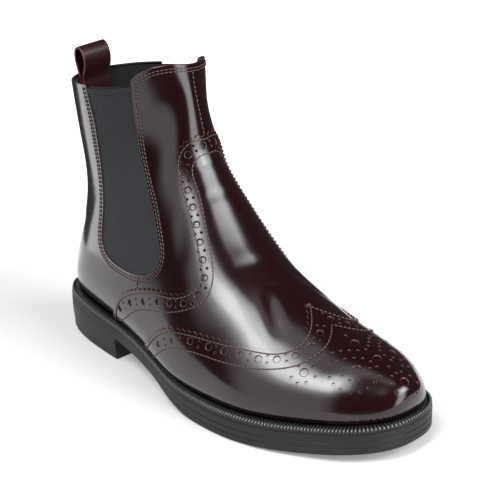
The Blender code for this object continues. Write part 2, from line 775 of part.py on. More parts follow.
def build_sole(feather):
    """Make outsole, heel, welt and insole."""
    rubber = material("rubber", (0.045, 0.047, 0.050), 0.5)
    board = material("lining board", (0.30, 0.24, 0.19), 0.8)
    welt_top = lambda y: seam_height(y)
    welt_floor = lambda y: seam_height(y) - WELT_THICKNESS
    outsole_top = lambda y: welt_floor(y) - SKIN_GAP
    edge = outline(feather, 1.0)
    notch = outline(feather, 1.0, -GROOVE_DEPTH)

    def between(share):
        return lambda y: underside(y) + share * (outsole_top(y) - underside(y))

    def groove(share, below):
        return lambda y: between(share)(y) + below * 0.5 * GROOVE_WIDTH

    levels = [(edge, outsole_top)]
    for share in (0.62, 0.32):
        levels.append((edge, groove(share, 1.0)))
        levels.append((notch, between(share)))
        levels.append((edge, groove(share, -1.0)))
    levels.append((edge, underside))
    outsole = plate_body("outsole", levels, OUTLINE_STEPS, rubber, collection_for("outsole"))

    heel_top = lambda y: underside(y) - SKIN_GAP
    breast = float(y_of(HEEL_SHARE))
    foot = outline(feather, 1.0, -HEEL_TAPER)
    lift_notch = outline(feather, 1.0, -0.8 * HEEL_TAPER - GROOVE_DEPTH)
    flat = lambda height: (lambda y: np.full(np.shape(y), height))
    heel_levels = [
        (edge, heel_top),
        (foot, flat(TOP_LIFT + 0.5 * GROOVE_WIDTH)),
        (lift_notch, flat(TOP_LIFT)),
        (foot, flat(TOP_LIFT - 0.5 * GROOVE_WIDTH)),
        (foot, flat(0.0)),
    ]
    heel = plate_body("heel", heel_levels, 16, rubber, collection_for("heel"), front=breast)

    rim = outline(feather, 1.0, -WELT_SET)
    bed = outline(feather, 0.0, SKIN_GAP)
    corners = [(bed, welt_top), (rim, welt_top), (rim, welt_floor), (bed, welt_floor)]
    welt = ring_body("welt", corners, OUTLINE_STEPS, rubber, collection_for("welt"))

    inside = outline(feather, 0.0, -WALL - INSOLE_PLAY)
    insole_floor = lambda y: outsole_top(y) + SKIN_GAP
    insole_top = lambda y: insole_floor(y) + INSOLE_THICKNESS
    insole = plate_body("insole", [(inside, insole_top), (inside, insole_floor)], 26, board,
                        collection_for("insole"))
    return outsole, heel, welt, insole, outsole_top


def build_upper(outsole_top, cutters):
    """Make the leather shell with its two notches, and the layers over it."""
    leather = material("leather", (0.075, 0.014, 0.018), 0.25)
    elastic = material("elastic", (0.050, 0.052, 0.056), 0.85)
    floor = lambda y: outsole_top(y) + SKIN_GAP
    upper = shell_body("upper", 0.0, -WALL, leather, collection_for("upper"), lower=floor)
    notch = drawn(GUSSET)
    reach = 0.09 * BALL_WIDTH
    far = 0.75 * BALL_WIDTH
    shrunk = moved_line(notch, -SKIN_GAP)
    top = side_point(np.array([0.17, 0.304]), np.array([1.0, 1.0]), np.array([0.258, 0.385]))
    top_line = np.stack([top[0], top[1] - GUSSET_DROP], 1)
    lowered = clipped_below(shrunk, top_line)
    for side, low_x, high_x in (("outer", -far, -reach), ("inner", reach, far)):
        cutter = prism_body(side + " notch", notch, low_x, high_x, cutters)
        cut(upper, cutter, "DIFFERENCE")
        gusset = gusset_body("gore_" + side, side, elastic)
        window = prism_body(side + " window", lowered, low_x, high_x, cutters)
        cut(gusset, window, "INTERSECT")

    vamp = shell_body("vamp_overlay", SKIN_GAP + VAMP_THICKNESS, SKIN_GAP, leather,
                      collection_for("vamp_overlay"))
    cap = shell_body("wing_cap", SKIN_GAP + CAP_THICKNESS, SKIN_GAP, leather, collection_for("wing_cap"))
    vamp_line = drawn(VAMP_EDGE)
    cap_line = drawn(CAP_EDGE)
    toe_y = float(y_of(1.15))
    floor_z = -HEEL_HEIGHT
    front = [(toe_y, float(cap_line[-1, 1])), (toe_y, floor_z), (float(cap_line[0, 0]), floor_z)]
    cap_area = np.concatenate([cap_line, np.array(front)])
    cap_window = prism_body("cap window", cap_area, -far, far, cutters)
    cut(cap, cap_window, "INTERSECT")
    vamp_front = moved_line(cap_line, -SKIN_GAP)
    vamp_area = np.concatenate([vamp_line, vamp_front[::-1]])
    vamp_window = prism_body("vamp window", vamp_area, -far, far, cutters)
    cut(vamp, vamp_window, "INTERSECT")
    for layer in (vamp, cap):
        trim_foot(layer, cutters)
    return upper


def trim_foot(layer, cutters):
    """Cut a layer off just above the welt's top."""
    forward = np.linspace(-0.10, 1.10, 49)
    y = y_of(forward)
    z = seam_height(y) + 2 * SKIN_GAP
    area = np.stack([y, z], 1).tolist()
    area += [(float(y[-1]), -HEEL_HEIGHT), (float(y[0]), -HEEL_HEIGHT)]
    cutter = prism_body(layer.name + " foot", np.array(area), -BALL_WIDTH, BALL_WIDTH, cutters)
    cut(layer, cutter, "DIFFERENCE")


def gusset_body(name, side, elastic):
    """Make the elastic's sheet, larger than its window, on one side."""
    rows = np.linspace(0.44, 0.90, 15)
    turns = np.linspace(0.06, 0.42, 10)
    if side == "inner":
        turns = 1.0 - turns[::-1]
    along = np.repeat(rows[:, None], len(turns), axis=1)
    around = np.repeat(turns[None, :], len(rows), axis=0)
    outer, _ = grid_points(along, around, -GUSSET_RECESS)
    inner, _ = grid_points(along, around, -GUSSET_RECESS - GUSSET_THICKNESS)
    row_count, column_count = along.shape
    points = list(outer.reshape(-1, 3)) + list(inner.reshape(-1, 3))
    count = row_count * column_count
    faces = []
    for row in range(row_count - 1):
        for column in range(column_count - 1):
            a = row * column_count + column
            face = (a, a + 1, a + column_count + 1, a + column_count)
            faces.append(face)
            faces.append(tuple(corner + count for corner in face[::-1]))
    border = [column for column in range(column_count)]
    border += [row * column_count + column_count - 1 for row in range(1, row_count)]
    border += [(row_count - 1) * column_count + column for column in range(column_count - 2, -1, -1)]
    border += [row * column_count for row in range(row_count - 2, 0, -1)]
    for a, b in zip(border, border[1:] + border[:1]):
        faces.append((b, a, a + count, b + count))
    return mesh_object(name, points, faces, elastic, collection_for(name))


def side_y(along, x):
    """Return the y where the back of a section passes a distance x from the middle."""
    turns = np.linspace(0.0, 0.24, 60)
    if x > 0:
        turns = (1.0 - turns) % 1.0
    points = last_points(np.array([along]), turns[None])[0]
    order = np.argsort(points[:, 0])
    return np.interp(x, points[order, 0], points[order, 1])


def build_loop():
    """Make the pull loop: a strap folded into a drop that stands in the back of the collar."""
    leather = material("loop leather", (0.070, 0.014, 0.018), 0.3)
    along = collar_along(np.array([0.0]), open_span()[1])
    rim = last_points(along, np.array([[0.0]]))[0, 0]
    below = last_points(along - 0.03, np.array([[0.0]]))[0, 0]
    down = (below - rim) / np.linalg.norm(below - rim)
    ahead = np.array([0.0, -1.0, 0.0])
    bow = 0.0
    for lower in (0.0, 0.03, 0.06):
        centre = last_points(along - lower, np.array([[0.0]]))[0, 0]
        for sign in (-1.0, 1.0):
            edge = side_y(float(along[0]) - lower, sign * 0.5 * LOOP_WIDTH)
            bow = max(bow, float(centre[1] - edge))
    start = rim + ahead * (bow + WALL + LOOP_THICKNESS + 2 * SKIN_GAP)
    shape = (
        # ahead share of the depth, up share of the height
        (-0.02, 0.00), (-0.18, 0.22), (-0.40, 0.52), (-0.46, 0.76), (-0.34, 0.94), (-0.10, 1.00),
        (0.20, 0.93), (0.46, 0.72), (0.54, 0.48), (0.44, 0.20), (0.30, 0.00),
    )
    path = [start + down * LOOP_TAIL * share for share in (1.0, 0.66, 0.33)]
    for share_ahead, share_up in shape:
        path.append(start + ahead * share_ahead * LOOP_DEPTH + np.array([0, 0, share_up * LOOP_HEIGHT]))
    path += [start + down * LOOP_TAIL * share + ahead * 0.31 * LOOP_DEPTH for share in (0.33, 0.66, 1.0)]
    path = np.array(path)
    fine = smooth_path(path, 26)
    tangent = np.gradient(fine, axis=0)
    normal = np.stack([np.zeros(len(fine)), -tangent[:, 2], tangent[:, 1]], 1)
    normal = normal / np.linalg.norm(normal, axis=1)[:, None]
    points = []
    for centre, across in zip(fine, normal):
        for x, side in ((-0.5, -0.5), (0.5, -0.5), (0.5, 0.5), (-0.5, 0.5)):
            place = centre + across * side * LOOP_THICKNESS
            points.append(place + np.array([x * LOOP_WIDTH, 0.0, 0.0]))
    faces = [(3, 2, 1, 0)]
    for i in range(len(fine) - 1):
        for j in range(4):
            a, b = 4 * i + j, 4 * i + (j + 1) % 4
            faces.append((a, b, b + 4, a + 4))
    end = 4 * (len(fine) - 1)
    faces.append((end, end + 1, end + 2, end + 3))
    return mesh_object("pull_loop", points, faces, leather, collection_for("pull_loop"))


def smooth_path(points, count):
    """Return a smooth path through points with count even steps."""
    run = np.concatenate([[0.0], np.cumsum(np.linalg.norm(np.diff(points, axis=0), axis=1))])
    fine = natural_spline(run, points, np.linspace(0.0, run[-1], 40 * count))
    length = np.concatenate([[0.0], np.cumsum(np.linalg.norm(np.diff(fine, axis=0), axis=1))])
    even = np.linspace(0.0, length[-1], count + 1)
    return np.stack([np.interp(even, length, fine[:, i]) for i in range(3)], 1)


def main():
    """Clear the scene and build every piece."""
    for leftover in list(bpy.data.objects):
        bpy.data.objects.remove(leftover)
    cutters = collection_for("cutters")
    feather = feather_line()
    *_, outsole_top = build_sole(feather)
    build_upper(outsole_top, cutters)
    build_loop()


main()
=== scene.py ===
"""Winged brogue ankle boot for the right foot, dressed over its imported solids.

Every leather piece, hole, stitch and elastic lies on one surface, the last, which is worked out here from
the same sections as the solids. Lengths are in metres, +z is up, the toe points to -y and the inner side
of the foot is +x. A spot on the last is (along, around): along runs from 0 at the toe's tip to 1 above the
collar, around from 0 at the back or under the foot, over the outer side, to 0.5 on the crest, and on over
the inner side to 1.
"""
from __future__ import annotations

import logging
import math
from dataclasses import dataclass, field
from enum import Enum
from typing import Callable, Mapping, Sequence, Union

import bpy
import numpy as np
from mathutils import Matrix, Vector
from mathutils.geometry import delaunay_2d_cdt
from mathutils.kdtree import KDTree


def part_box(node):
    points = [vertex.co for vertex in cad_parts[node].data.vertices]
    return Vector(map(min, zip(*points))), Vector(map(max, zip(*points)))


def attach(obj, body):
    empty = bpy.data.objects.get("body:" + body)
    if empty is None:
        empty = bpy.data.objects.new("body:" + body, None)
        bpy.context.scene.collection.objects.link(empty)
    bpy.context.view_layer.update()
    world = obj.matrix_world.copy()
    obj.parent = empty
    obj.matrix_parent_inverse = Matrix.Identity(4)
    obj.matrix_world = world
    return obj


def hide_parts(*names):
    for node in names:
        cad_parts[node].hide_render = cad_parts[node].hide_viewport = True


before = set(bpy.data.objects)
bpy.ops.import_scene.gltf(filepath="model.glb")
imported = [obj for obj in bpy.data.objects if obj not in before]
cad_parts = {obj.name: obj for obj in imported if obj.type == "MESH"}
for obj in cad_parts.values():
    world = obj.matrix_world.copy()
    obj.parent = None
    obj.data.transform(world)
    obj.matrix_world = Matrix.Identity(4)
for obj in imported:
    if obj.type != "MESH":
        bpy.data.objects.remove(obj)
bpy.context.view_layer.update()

log = logging.getLogger("boot")

BODY = "root"
MM = 0.001
RAD = 180.0 / math.pi

Array = np.ndarray
Scalar = Union[float, "Socket"]


@dataclass(frozen=True)
class LastSizes:
    """The driving sizes of the last, shaft and sole, as in the solids."""

    length: float = 0.262
    ball_width: float = 0.0922
    instep_height: float = 0.1196
    shaft_rise: float = 0.0814
    wall: float = 0.0022
    heel_height: float = 0.0234
    forepart_height: float = 0.01375
    toe_spring: float = 0.0067
    welt_lip: float = 0.0005
    origin_share: float = 0.135


# Height of the seam between sole and leather: shares of heel height, forepart height and toe spring
SOLE_LINE = (
    # forward, heel, forepart, spring
    (0.00, 1.000, 0.000, 0.00),
    (0.12, 0.990, 0.010, 0.00),
    (0.24, 0.834, 0.166, 0.00),
    (0.36, 0.590, 0.410, 0.00),
    (0.48, 0.160, 0.840, 0.00),
    (0.58, 0.000, 1.000, 0.00),
    (0.66, 0.000, 1.000, 0.02),
    (0.78, 0.000, 1.000, 0.18),
    (0.90, 0.000, 1.000, 0.56),
    (1.00, 0.000, 1.000, 1.00),
)

# Sections of the last. Crest and base: shares of the length, the instep height and the shaft's rise.
# Then the half widths as shares of the ball width, and the shares that shape the section
SECTIONS = (
    # crest length, instep, shaft, base length, instep, shaft, outer, inner, widest, crown, seat, drift
    (1.000, 0.100, 0.000, 1.000, 0.100, 0.000, 0.000, 0.000, 0.420, 0.550, 0.600, 0.055),
    (0.992, 0.150, 0.000, 0.992, 0.020, 0.000, 0.110, 0.130, 0.354, 0.539, 0.630, 0.055),
    (0.968, 0.183, 0.000, 0.968, -0.020, 0.000, 0.197, 0.229, 0.279, 0.522, 0.699, 0.053),
    (0.920, 0.235, 0.000, 0.920, -0.035, 0.000, 0.321, 0.328, 0.293, 0.525, 0.754, 0.048),
    (0.855, 0.287, 0.000, 0.855, -0.040, 0.000, 0.422, 0.398, 0.311, 0.512, 0.787, 0.038),
    (0.775, 0.357, 0.000, 0.775, -0.040, 0.000, 0.506, 0.430, 0.271, 0.498, 0.815, 0.022),
    (0.690, 0.453, 0.000, 0.690, -0.040, 0.000, 0.546, 0.446, 0.242, 0.505, 0.826, 0.005),
    (0.610, 0.572, 0.000, 0.600, -0.040, 0.000, 0.539, 0.426, 0.208, 0.515, 0.818, -0.008),
    (0.538, 0.717, 0.000, 0.500, -0.040, 0.000, 0.518, 0.404, 0.200, 0.537, 0.799, -0.012),
    (0.480, 0.853, 0.000, 0.385, -0.040, 0.000, 0.466, 0.386, 0.246, 0.533, 0.762, -0.010),
    (0.437, 0.967, 0.000, 0.255, -0.040, 0.000, 0.420, 0.374, 0.300, 0.530, 0.728, -0.005),
    (0.416, 1.000, 0.100, 0.126, -0.065, 0.000, 0.368, 0.382, 0.375, 0.559, 0.664, 0.000),
    (0.403, 1.000, 0.240, 0.035, -0.019, 0.000, 0.309, 0.356, 0.463, 0.557, 0.582, 0.000),
    (0.392, 1.000, 0.370, 0.037, 0.211, 0.000, 0.269, 0.335, 0.527, 0.556, 0.507, 0.000),
    (0.385, 1.000, 0.500, 0.062, 0.520, 0.000, 0.274, 0.328, 0.553, 0.565, 0.491, 0.000),
    (0.382, 1.000, 0.650, 0.058, 0.800, 0.000, 0.315, 0.331, 0.528, 0.567, 0.538, 0.000),
    (0.382, 1.000, 0.820, 0.035, 1.000, 0.220, 0.334, 0.336, 0.502, 0.563, 0.563, 0.000),
    (0.383, 1.000, 1.020, 0.009, 1.000, 0.600, 0.343, 0.336, 0.495, 0.553, 0.562, 0.000),
    (0.385, 1.000, 1.250, -0.020, 1.000, 0.980, 0.349, 0.337, 0.491, 0.546, 0.558, 0.000),
)

# Side drawings of the collar and of the elastic's opening
COLLAR = (
    # forward, instep, shaft
    (-0.04, 1.00, 0.130),
    (0.05, 1.00, 0.170),
    (0.10, 1.00, 0.205),
    (0.17, 1.00, 0.258),
    (0.24, 1.00, 0.320),
    (0.295, 1.00, 0.378),
    (0.315, 1.00, 0.455),
    (0.345, 1.00, 0.530),
    (0.375, 1.00, 0.570),
    (0.44, 1.00, 0.585),
)
GUSSET = (
    # forward, instep, shaft
    (0.160, 1.000, 0.45),
    (0.170, 1.000, 0.25),
    (0.184, 0.960, 0.08),
    (0.183, 0.840, 0.00),
    (0.190, 0.700, 0.00),
    (0.207, 0.575, 0.00),
    (0.213, 0.475, 0.00),
    (0.222, 0.402, 0.00),
    (0.250, 0.368, 0.00),
    (0.302, 0.360, 0.00),
    (0.366, 0.383, 0.00),
    (0.400, 0.415, 0.00),
    (0.421, 0.455, 0.00),
    (0.431, 0.515, 0.00),
    (0.426, 0.560, 0.00),
    (0.409, 0.620, 0.00),
    (0.385, 0.700, 0.00),
    (0.350, 0.803, 0.00),
    (0.317, 0.900, 0.02),
    (0.302, 0.980, 0.08),
    (0.301, 1.000, 0.25),
    (0.305, 1.000, 0.55),
)

# Edges and rows on the outer side, from the welt up to the crest; the inner side mirrors them
VAMP_EDGE = (
    # along, around
    (0.549, 0.080),
    (0.535, 0.119),
    (0.525, 0.176),
    (0.497, 0.223),
    (0.440, 0.277),
    (0.390, 0.323),
    (0.376, 0.352),
    (0.393, 0.379),
    (0.447, 0.403),
    (0.529, 0.427),
    (0.572, 0.441),
    (0.588, 0.462),
    (0.578, 0.500),
)
VAMP_ROW = (
    # along, around
    (0.522, 0.120),
    (0.505, 0.148),
    (0.491, 0.179),
    (0.465, 0.214),
    (0.410, 0.266),
    (0.374, 0.304),
    (0.350, 0.341),
    (0.349, 0.372),
    (0.370, 0.403),
    (0.422, 0.432),
    (0.487, 0.453),
    (0.530, 0.466),
    (0.536, 0.482),
    (0.532, 0.500),
)
VAMP_HOLES = (
    # along, around
    (0.530, 0.130),
    (0.515, 0.163),
    (0.495, 0.198),
    (0.469, 0.227),
    (0.437, 0.260),
    (0.403, 0.290),
    (0.372, 0.324),
    (0.363, 0.361),
    (0.379, 0.385),
    (0.427, 0.414),
    (0.490, 0.435),
    (0.545, 0.453),
    (0.560, 0.470),
    (0.553, 0.500),
)
WING_EDGE = (
    # along, around
    (0.462, 0.130),
    (0.444, 0.171),
    (0.419, 0.221),
    (0.391, 0.252),
    (0.348, 0.282),
    (0.298, 0.307),
    (0.254, 0.328),
    (0.222, 0.344),
    (0.195, 0.366),
    (0.183, 0.402),
    (0.186, 0.430),
    (0.200, 0.464),
    (0.228, 0.500),
)
WING_ROW = (
    # along, around
    (0.436, 0.140),
    (0.416, 0.176),
    (0.393, 0.209),
    (0.355, 0.241),
    (0.302, 0.267),
    (0.269, 0.279),
    (0.213, 0.303),
    (0.178, 0.328),
    (0.161, 0.351),
    (0.150, 0.390),
    (0.149, 0.433),
    (0.159, 0.470),
    (0.174, 0.500),
)
WING_HOLES = (
    # along, around
    (0.440, 0.160),
    (0.413, 0.200),
    (0.385, 0.233),
    (0.354, 0.260),
    (0.320, 0.279),
    (0.287, 0.293),
    (0.258, 0.307),
    (0.229, 0.317),
    (0.200, 0.335),
    (0.175, 0.366),
    (0.165, 0.414),
    (0.175, 0.463),
    (0.200, 0.500),
)

# Toe pattern. Large holes on the middle line and on the outer side, small holes on the outer side in arcs
TOE_LARGE_MIDDLE = ((0.127, 0.500), (0.083, 0.500), (0.028, 0.500))
TOE_LARGE_SIDE = ((0.088, 0.411), (0.147, 0.339))
TOE_SMALL_MIDDLE = ((0.106, 0.500), (0.061, 0.500), (0.046, 0.500), (0.146, 0.500))
TOE_SMALL_SIDE = (
    # along, around: round the far large hole
    (0.159, 0.316),
    (0.147, 0.306),
    (0.136, 0.315),
    (0.129, 0.337),
    (0.142, 0.362),
    (0.160, 0.350),
    # outer arc from the far hole to the middle
    (0.139, 0.384),
    (0.137, 0.404),
    (0.133, 0.424),
    (0.127, 0.442),
    (0.119, 0.459),
    (0.111, 0.478),
    # second arc, round the near large hole
    (0.124, 0.364),
    (0.122, 0.383),
    (0.118, 0.404),
    (0.112, 0.425),
    (0.104, 0.443),
    (0.095, 0.459),
    (0.083, 0.466),
    (0.071, 0.461),
    # lower arc on the side of the toe
    (0.111, 0.349),
    (0.101, 0.334),
    (0.089, 0.323),
    (0.077, 0.325),
    (0.066, 0.338),
    (0.059, 0.363),
    (0.056, 0.396),
    (0.057, 0.430),
    # round the near large hole
    (0.103, 0.390),
    (0.098, 0.369),
    (0.085, 0.363),
    (0.074, 0.378),
    (0.070, 0.409),
    (0.075, 0.440),
    # round the tip's large hole
    (0.045, 0.468),
    (0.036, 0.430),
    (0.024, 0.385),
    (0.010, 0.320),
)


@dataclass(frozen=True)
class Crease:
    """A soft trough in the leather with a low ridge on each side.

    start, end: spots on the last. depth, width: of the trough.
    """

    start: tuple[float, float]
    end: tuple[float, float]
    depth: float
    width: float


# Creases over the joints, at the ankle's bend and down the shaft's sides
CREASES = (
    Crease((0.268, 0.445), (0.214, 0.395), 0.45 * MM, 5.0 * MM),
    Crease((0.279, 0.462), (0.270, 0.520), 0.25 * MM, 2.6 * MM),
    Crease((0.296, 0.545), (0.240, 0.610), 0.40 * MM, 5.0 * MM),
    Crease((0.330, 0.440), (0.318, 0.560), 0.30 * MM, 6.0 * MM),
    Crease((0.455, 0.465), (0.450, 0.545), 0.22 * MM, 4.5 * MM),
    Crease((0.520, 0.475), (0.515, 0.540), 0.18 * MM, 3.5 * MM),
    Crease((0.425, 0.355), (0.470, 0.400), 0.30 * MM, 7.0 * MM),
    Crease((0.425, 0.645), (0.470, 0.600), 0.30 * MM, 7.0 * MM),
    Crease((0.700, 0.050), (0.690, 0.150), 0.30 * MM, 6.0 * MM),
    Crease((0.700, 0.950), (0.690, 0.850), 0.30 * MM, 6.0 * MM),
    Crease((0.655, 0.020), (0.648, 0.120), 0.22 * MM, 5.0 * MM),
)


def natural_spline(knots: Array, values: Array, at: Array) -> Array:
    """Work out the natural cubic spline through rows of values.

    Args:
        knots: rising places of the rows.
        values: one row for each knot.
        at: places to read.

    Returns:
        One row for each place.
    """
    count = len(knots)
    step = np.diff(knots)
    matrix = np.zeros((count, count))
    right = np.zeros((count, values.shape[1]))
    matrix[0, 0] = 1.0
    matrix[-1, -1] = 1.0
    for i in range(1, count - 1):
        matrix[i, i - 1:i + 2] = (step[i - 1], 2 * (step[i - 1] + step[i]), step[i])
        right[i] = 6 * ((values[i + 1] - values[i]) / step[i] - (values[i] - values[i - 1]) / step[i - 1])
    bend = np.linalg.solve(matrix, right)
    i = np.clip(np.searchsorted(knots, at) - 1, 0, count - 2)
    after = (at - knots[i])[..., None]
    before = (knots[i + 1] - at)[..., None]
    width = step[i][..., None]
    curved = (bend[i] * before**3 + bend[i + 1] * after**3) / (6 * width)
    low = (values[i] / width - bend[i] * width / 6) * before
    high = (values[i + 1] / width - bend[i + 1] * width / 6) * after
    return curved + low + high


def smoothstep(low: float, high: float, value: Array) -> Array:
    """Ease from 0 at low to 1 at high, also where high is the lower one."""
    share = np.clip((np.asarray(value, float) - low) / (high - low), 0.0, 1.0)
    return share * share * (3 - 2 * share)


def unit(vectors: Array) -> Array:
    """Give the vectors the length 1."""
    return vectors / np.maximum(np.linalg.norm(vectors, axis=-1), 1e-12)[..., None]


def run_of(points: Array) -> Array:
    """Return the distance from the first point to each point along the line."""
    return np.concatenate([[0.0], np.cumsum(np.linalg.norm(np.diff(points, axis=0), axis=1))])


class Last:
    """The surface that the leather lies on, read from a fine grid."""

    ROWS = 380
    TURNS = 720
    # The rolled rim stands this high over the line, and the collar dips this much on the crest
    COLLAR_INSET = 0.8 * MM
    FRONT_DIP = 3.8 * MM

    def __init__(self, sizes: LastSizes, creases: Sequence[Crease]) -> None:
        """Work out the grid, its normals and its creases."""
        self.sizes = sizes
        self.along = np.linspace(0.0, 1.0, self.ROWS + 1)
        self.around = np.linspace(0.0, 1.0, self.TURNS + 1)
        self.points = np.stack([self._section(row, self.around) for row in self._values(self.along)])
        self.girth = np.linalg.norm(np.diff(self.points, axis=1), axis=2).sum(axis=1)
        self.reach = float(run_of(self.points[:, self.TURNS // 2])[-1])
        self._find_normals()
        for crease in creases:
            self.points = self.points + self.normals * self._trough(crease)[..., None]
        self._find_normals()

    def seam_height(self, y: Array) -> Array:
        """Return the height where the welt's top meets the leather."""
        return self.sole_line(self.forward_of(y)) + self.sizes.welt_lip

    def sole_line(self, forward: Array) -> Array:
        """Return the height of the seam between sole and leather at a share of the way forward."""
        table = np.array(SOLE_LINE)
        shares = natural_spline(table[:, 0], table[:, 1:], np.clip(forward, -0.05, 1.06))
        heights = (self.sizes.heel_height, self.sizes.forepart_height, self.sizes.toe_spring)
        return shares @ np.array(heights)

    def forward_of(self, y: Array) -> Array:
        """Return the share of the last's length at a y."""
        return self.sizes.origin_share - np.asarray(y) / self.sizes.length

    def side_points(self, table: Array) -> Array:
        """Return the (y, z) of rows of a side drawing."""
        y = (self.sizes.origin_share - table[:, 0]) * self.sizes.length
        rise = table[:, 1] * self.sizes.instep_height + table[:, 2] * self.sizes.shaft_rise
        return np.stack([y, self.sole_line(table[:, 0]) + rise], 1)

    def _values(self, along: Array) -> Array:
        """Return the section values between the table's rows, mirrored past the tip so that it closes."""
        table = np.array(SECTIONS)
        ends = np.concatenate([self.side_points(table[:, 0:3]), self.side_points(table[:, 3:6])], 1)
        shaped = [table[:, 6:8] * self.sizes.ball_width, table[:, 8:11], table[:, 11:] * self.sizes.ball_width]
        rows = np.concatenate([ends, *shaped], 1)
        knots = 0.6 * run_of(ends[:, 0:2]) + 0.4 * run_of(ends[:, 2:4])
        mirrored = rows[5:0:-1].copy()
        mirrored[:, 0:4] = mirrored[:, [2, 3, 0, 1]]
        mirrored[:, 4:6] = -mirrored[:, 4:6]
        all_knots = np.concatenate([-knots[5:0:-1], knots])
        return natural_spline(all_knots, np.concatenate([mirrored, rows]), along * knots[-1])

    @staticmethod
    def _half_section(across: float, rise: float, widest: float, crown: float, seat: float) -> Array:
        """Return one side of a section from base to crest as (across, up) points."""
        waist = widest * rise
        tuck = min(seat, 0.62)
        low = ((0, 0), (seat * across, 0), (across, waist * (1 - tuck)), (across, waist))
        high = ((across, waist), (across, waist + crown * (rise - waist)), (crown * across, rise), (0, rise))
        s = np.linspace(0.0, 1.0, 60)[:, None]
        parts = []
        for p in (np.array(low), np.array(high)):
            parts.append((1 - s)**3 * p[0] + 3 * (1 - s)**2 * s * p[1] + 3 * (1 - s) * s**2 * p[2] + s**3 * p[3])
        return np.concatenate([parts[0], parts[1][1:]])

    def _section(self, values: Array, around: Array) -> Array:
        """Return the points of one section at the turns around it."""
        base = values[2:4]
        up = values[0:2] - base
        rise = float(np.hypot(up[0], up[1]))
        if rise < 1e-9:
            return np.tile([values[9], base[0], base[1]], (len(around), 1))
        flat = np.zeros((len(around), 2))
        for sign, width in ((-1.0, values[4]), (1.0, values[5])):
            pick = around <= 0.5 if sign < 0 else around > 0.5
            side = self._half_section(width, rise, values[6], values[7], values[8])
            run = run_of(side)
            share = 2 * (around[pick] if sign < 0 else 1 - around[pick])
            flat[pick, 0] = sign * np.interp(share * run[-1], run, side[:, 0])
            flat[pick, 1] = np.interp(share * run[-1], run, side[:, 1])
        spine = base + flat[:, 1:] * (up / rise)
        return np.concatenate([flat[:, :1] + values[9], spine], 1)

    def _find_normals(self) -> None:
        """Work out the grid's slopes and outward normals."""
        wrapped = np.concatenate([self.points[:, -2:-1], self.points, self.points[:, 1:2]], 1)
        self.slope_around = (wrapped[:, 2:] - wrapped[:, :-2]) * (0.5 * self.TURNS)
        self.slope_along = np.gradient(self.points, self.along, axis=0)
        self.normals = unit(np.cross(self.slope_around, self.slope_along))
        tip = unit(self.normals[1:3].mean(axis=(0, 1)))
        self.normals[0] = tip

    def _trough(self, crease: Crease) -> Array:
        """Return how far a crease moves each grid point outwards."""
        start, end = self.place(np.array([crease.start, crease.end]))
        way = end - start
        length = float(np.linalg.norm(way))
        offset = self.points - start
        share = np.clip(offset @ way / length**2, -0.5, 1.5)
        away = np.linalg.norm(offset - share[..., None] * way, axis=2) / crease.width
        fade = 1 - smoothstep(0.25, 0.75, np.abs(share - 0.5))
        return -crease.depth * (1 - 1.2 * away**2) * np.exp(-away**2) * fade

    def _read(self, grid: Array, spots: Array) -> Array:
        """Read a grid at spots, blended between its points."""
        row = np.clip(spots[..., 0], 0.0, 1.0) * self.ROWS
        i = np.minimum(row.astype(int), self.ROWS - 1)
        turn = np.mod(spots[..., 1], 1.0) * self.TURNS
        j = np.minimum(turn.astype(int), self.TURNS - 1)
        f = (row - i)[..., None]
        g = (turn - j)[..., None]
        low = grid[i, j] * (1 - g) + grid[i, j + 1] * g
        high = grid[i + 1, j] * (1 - g) + grid[i + 1, j + 1] * g
        return low * (1 - f) + high * f

    def place(self, spots: Array, offset: Union[float, Array] = 0.0) -> Array:
        """Return the points at spots, moved outwards by an offset."""
        points = self._read(self.points, spots)
        if np.isscalar(offset) and offset == 0.0:
            return points
        return points + self.normal(spots) * np.asarray(offset)[..., None]

    def normal(self, spots: Array) -> Array:
        """Return the outward normals at spots."""
        return unit(self._read(self.normals, spots))

    def moved(self, spots: Array, vectors: Array) -> Array:
        """Return the spots reached from spots by short vectors that lie in the surface."""
        a = self._read(self.slope_along, spots)
        b = self._read(self.slope_around, spots)
        aa, ab, bb = (a * a).sum(-1), (a * b).sum(-1), (b * b).sum(-1)
        va, vb = (vectors * a).sum(-1), (vectors * b).sum(-1)
        span = np.maximum(aa * bb - ab * ab, 1e-12)
        step = np.stack([(va * bb - vb * ab) / span, (vb * aa - va * ab) / span], -1)
        return spots + step

    def chart(self, spots: Array) -> Array:
        """Return flat pattern places of spots, near their true sizes."""
        girth = np.interp(spots[..., 0], self.along, self.girth)
        return np.stack([(spots[..., 1] - 0.5) * girth, spots[..., 0] * self.reach], -1)

    def unchart(self, places: Array) -> Array:
        """Return the spots of flat pattern places."""
        along = places[..., 1] / self.reach
        girth = np.maximum(np.interp(along, self.along, self.girth), 1e-7)
        return np.stack([along, np.clip(0.5 + places[..., 0] / girth, 0.0, 1.0)], -1)

    def height_over_seam(self, spots: Array) -> Array:
        """Return how high spots lie over the welt's top."""
        points = self.place(spots)
        return points[..., 2] - self.seam_height(points[..., 1])

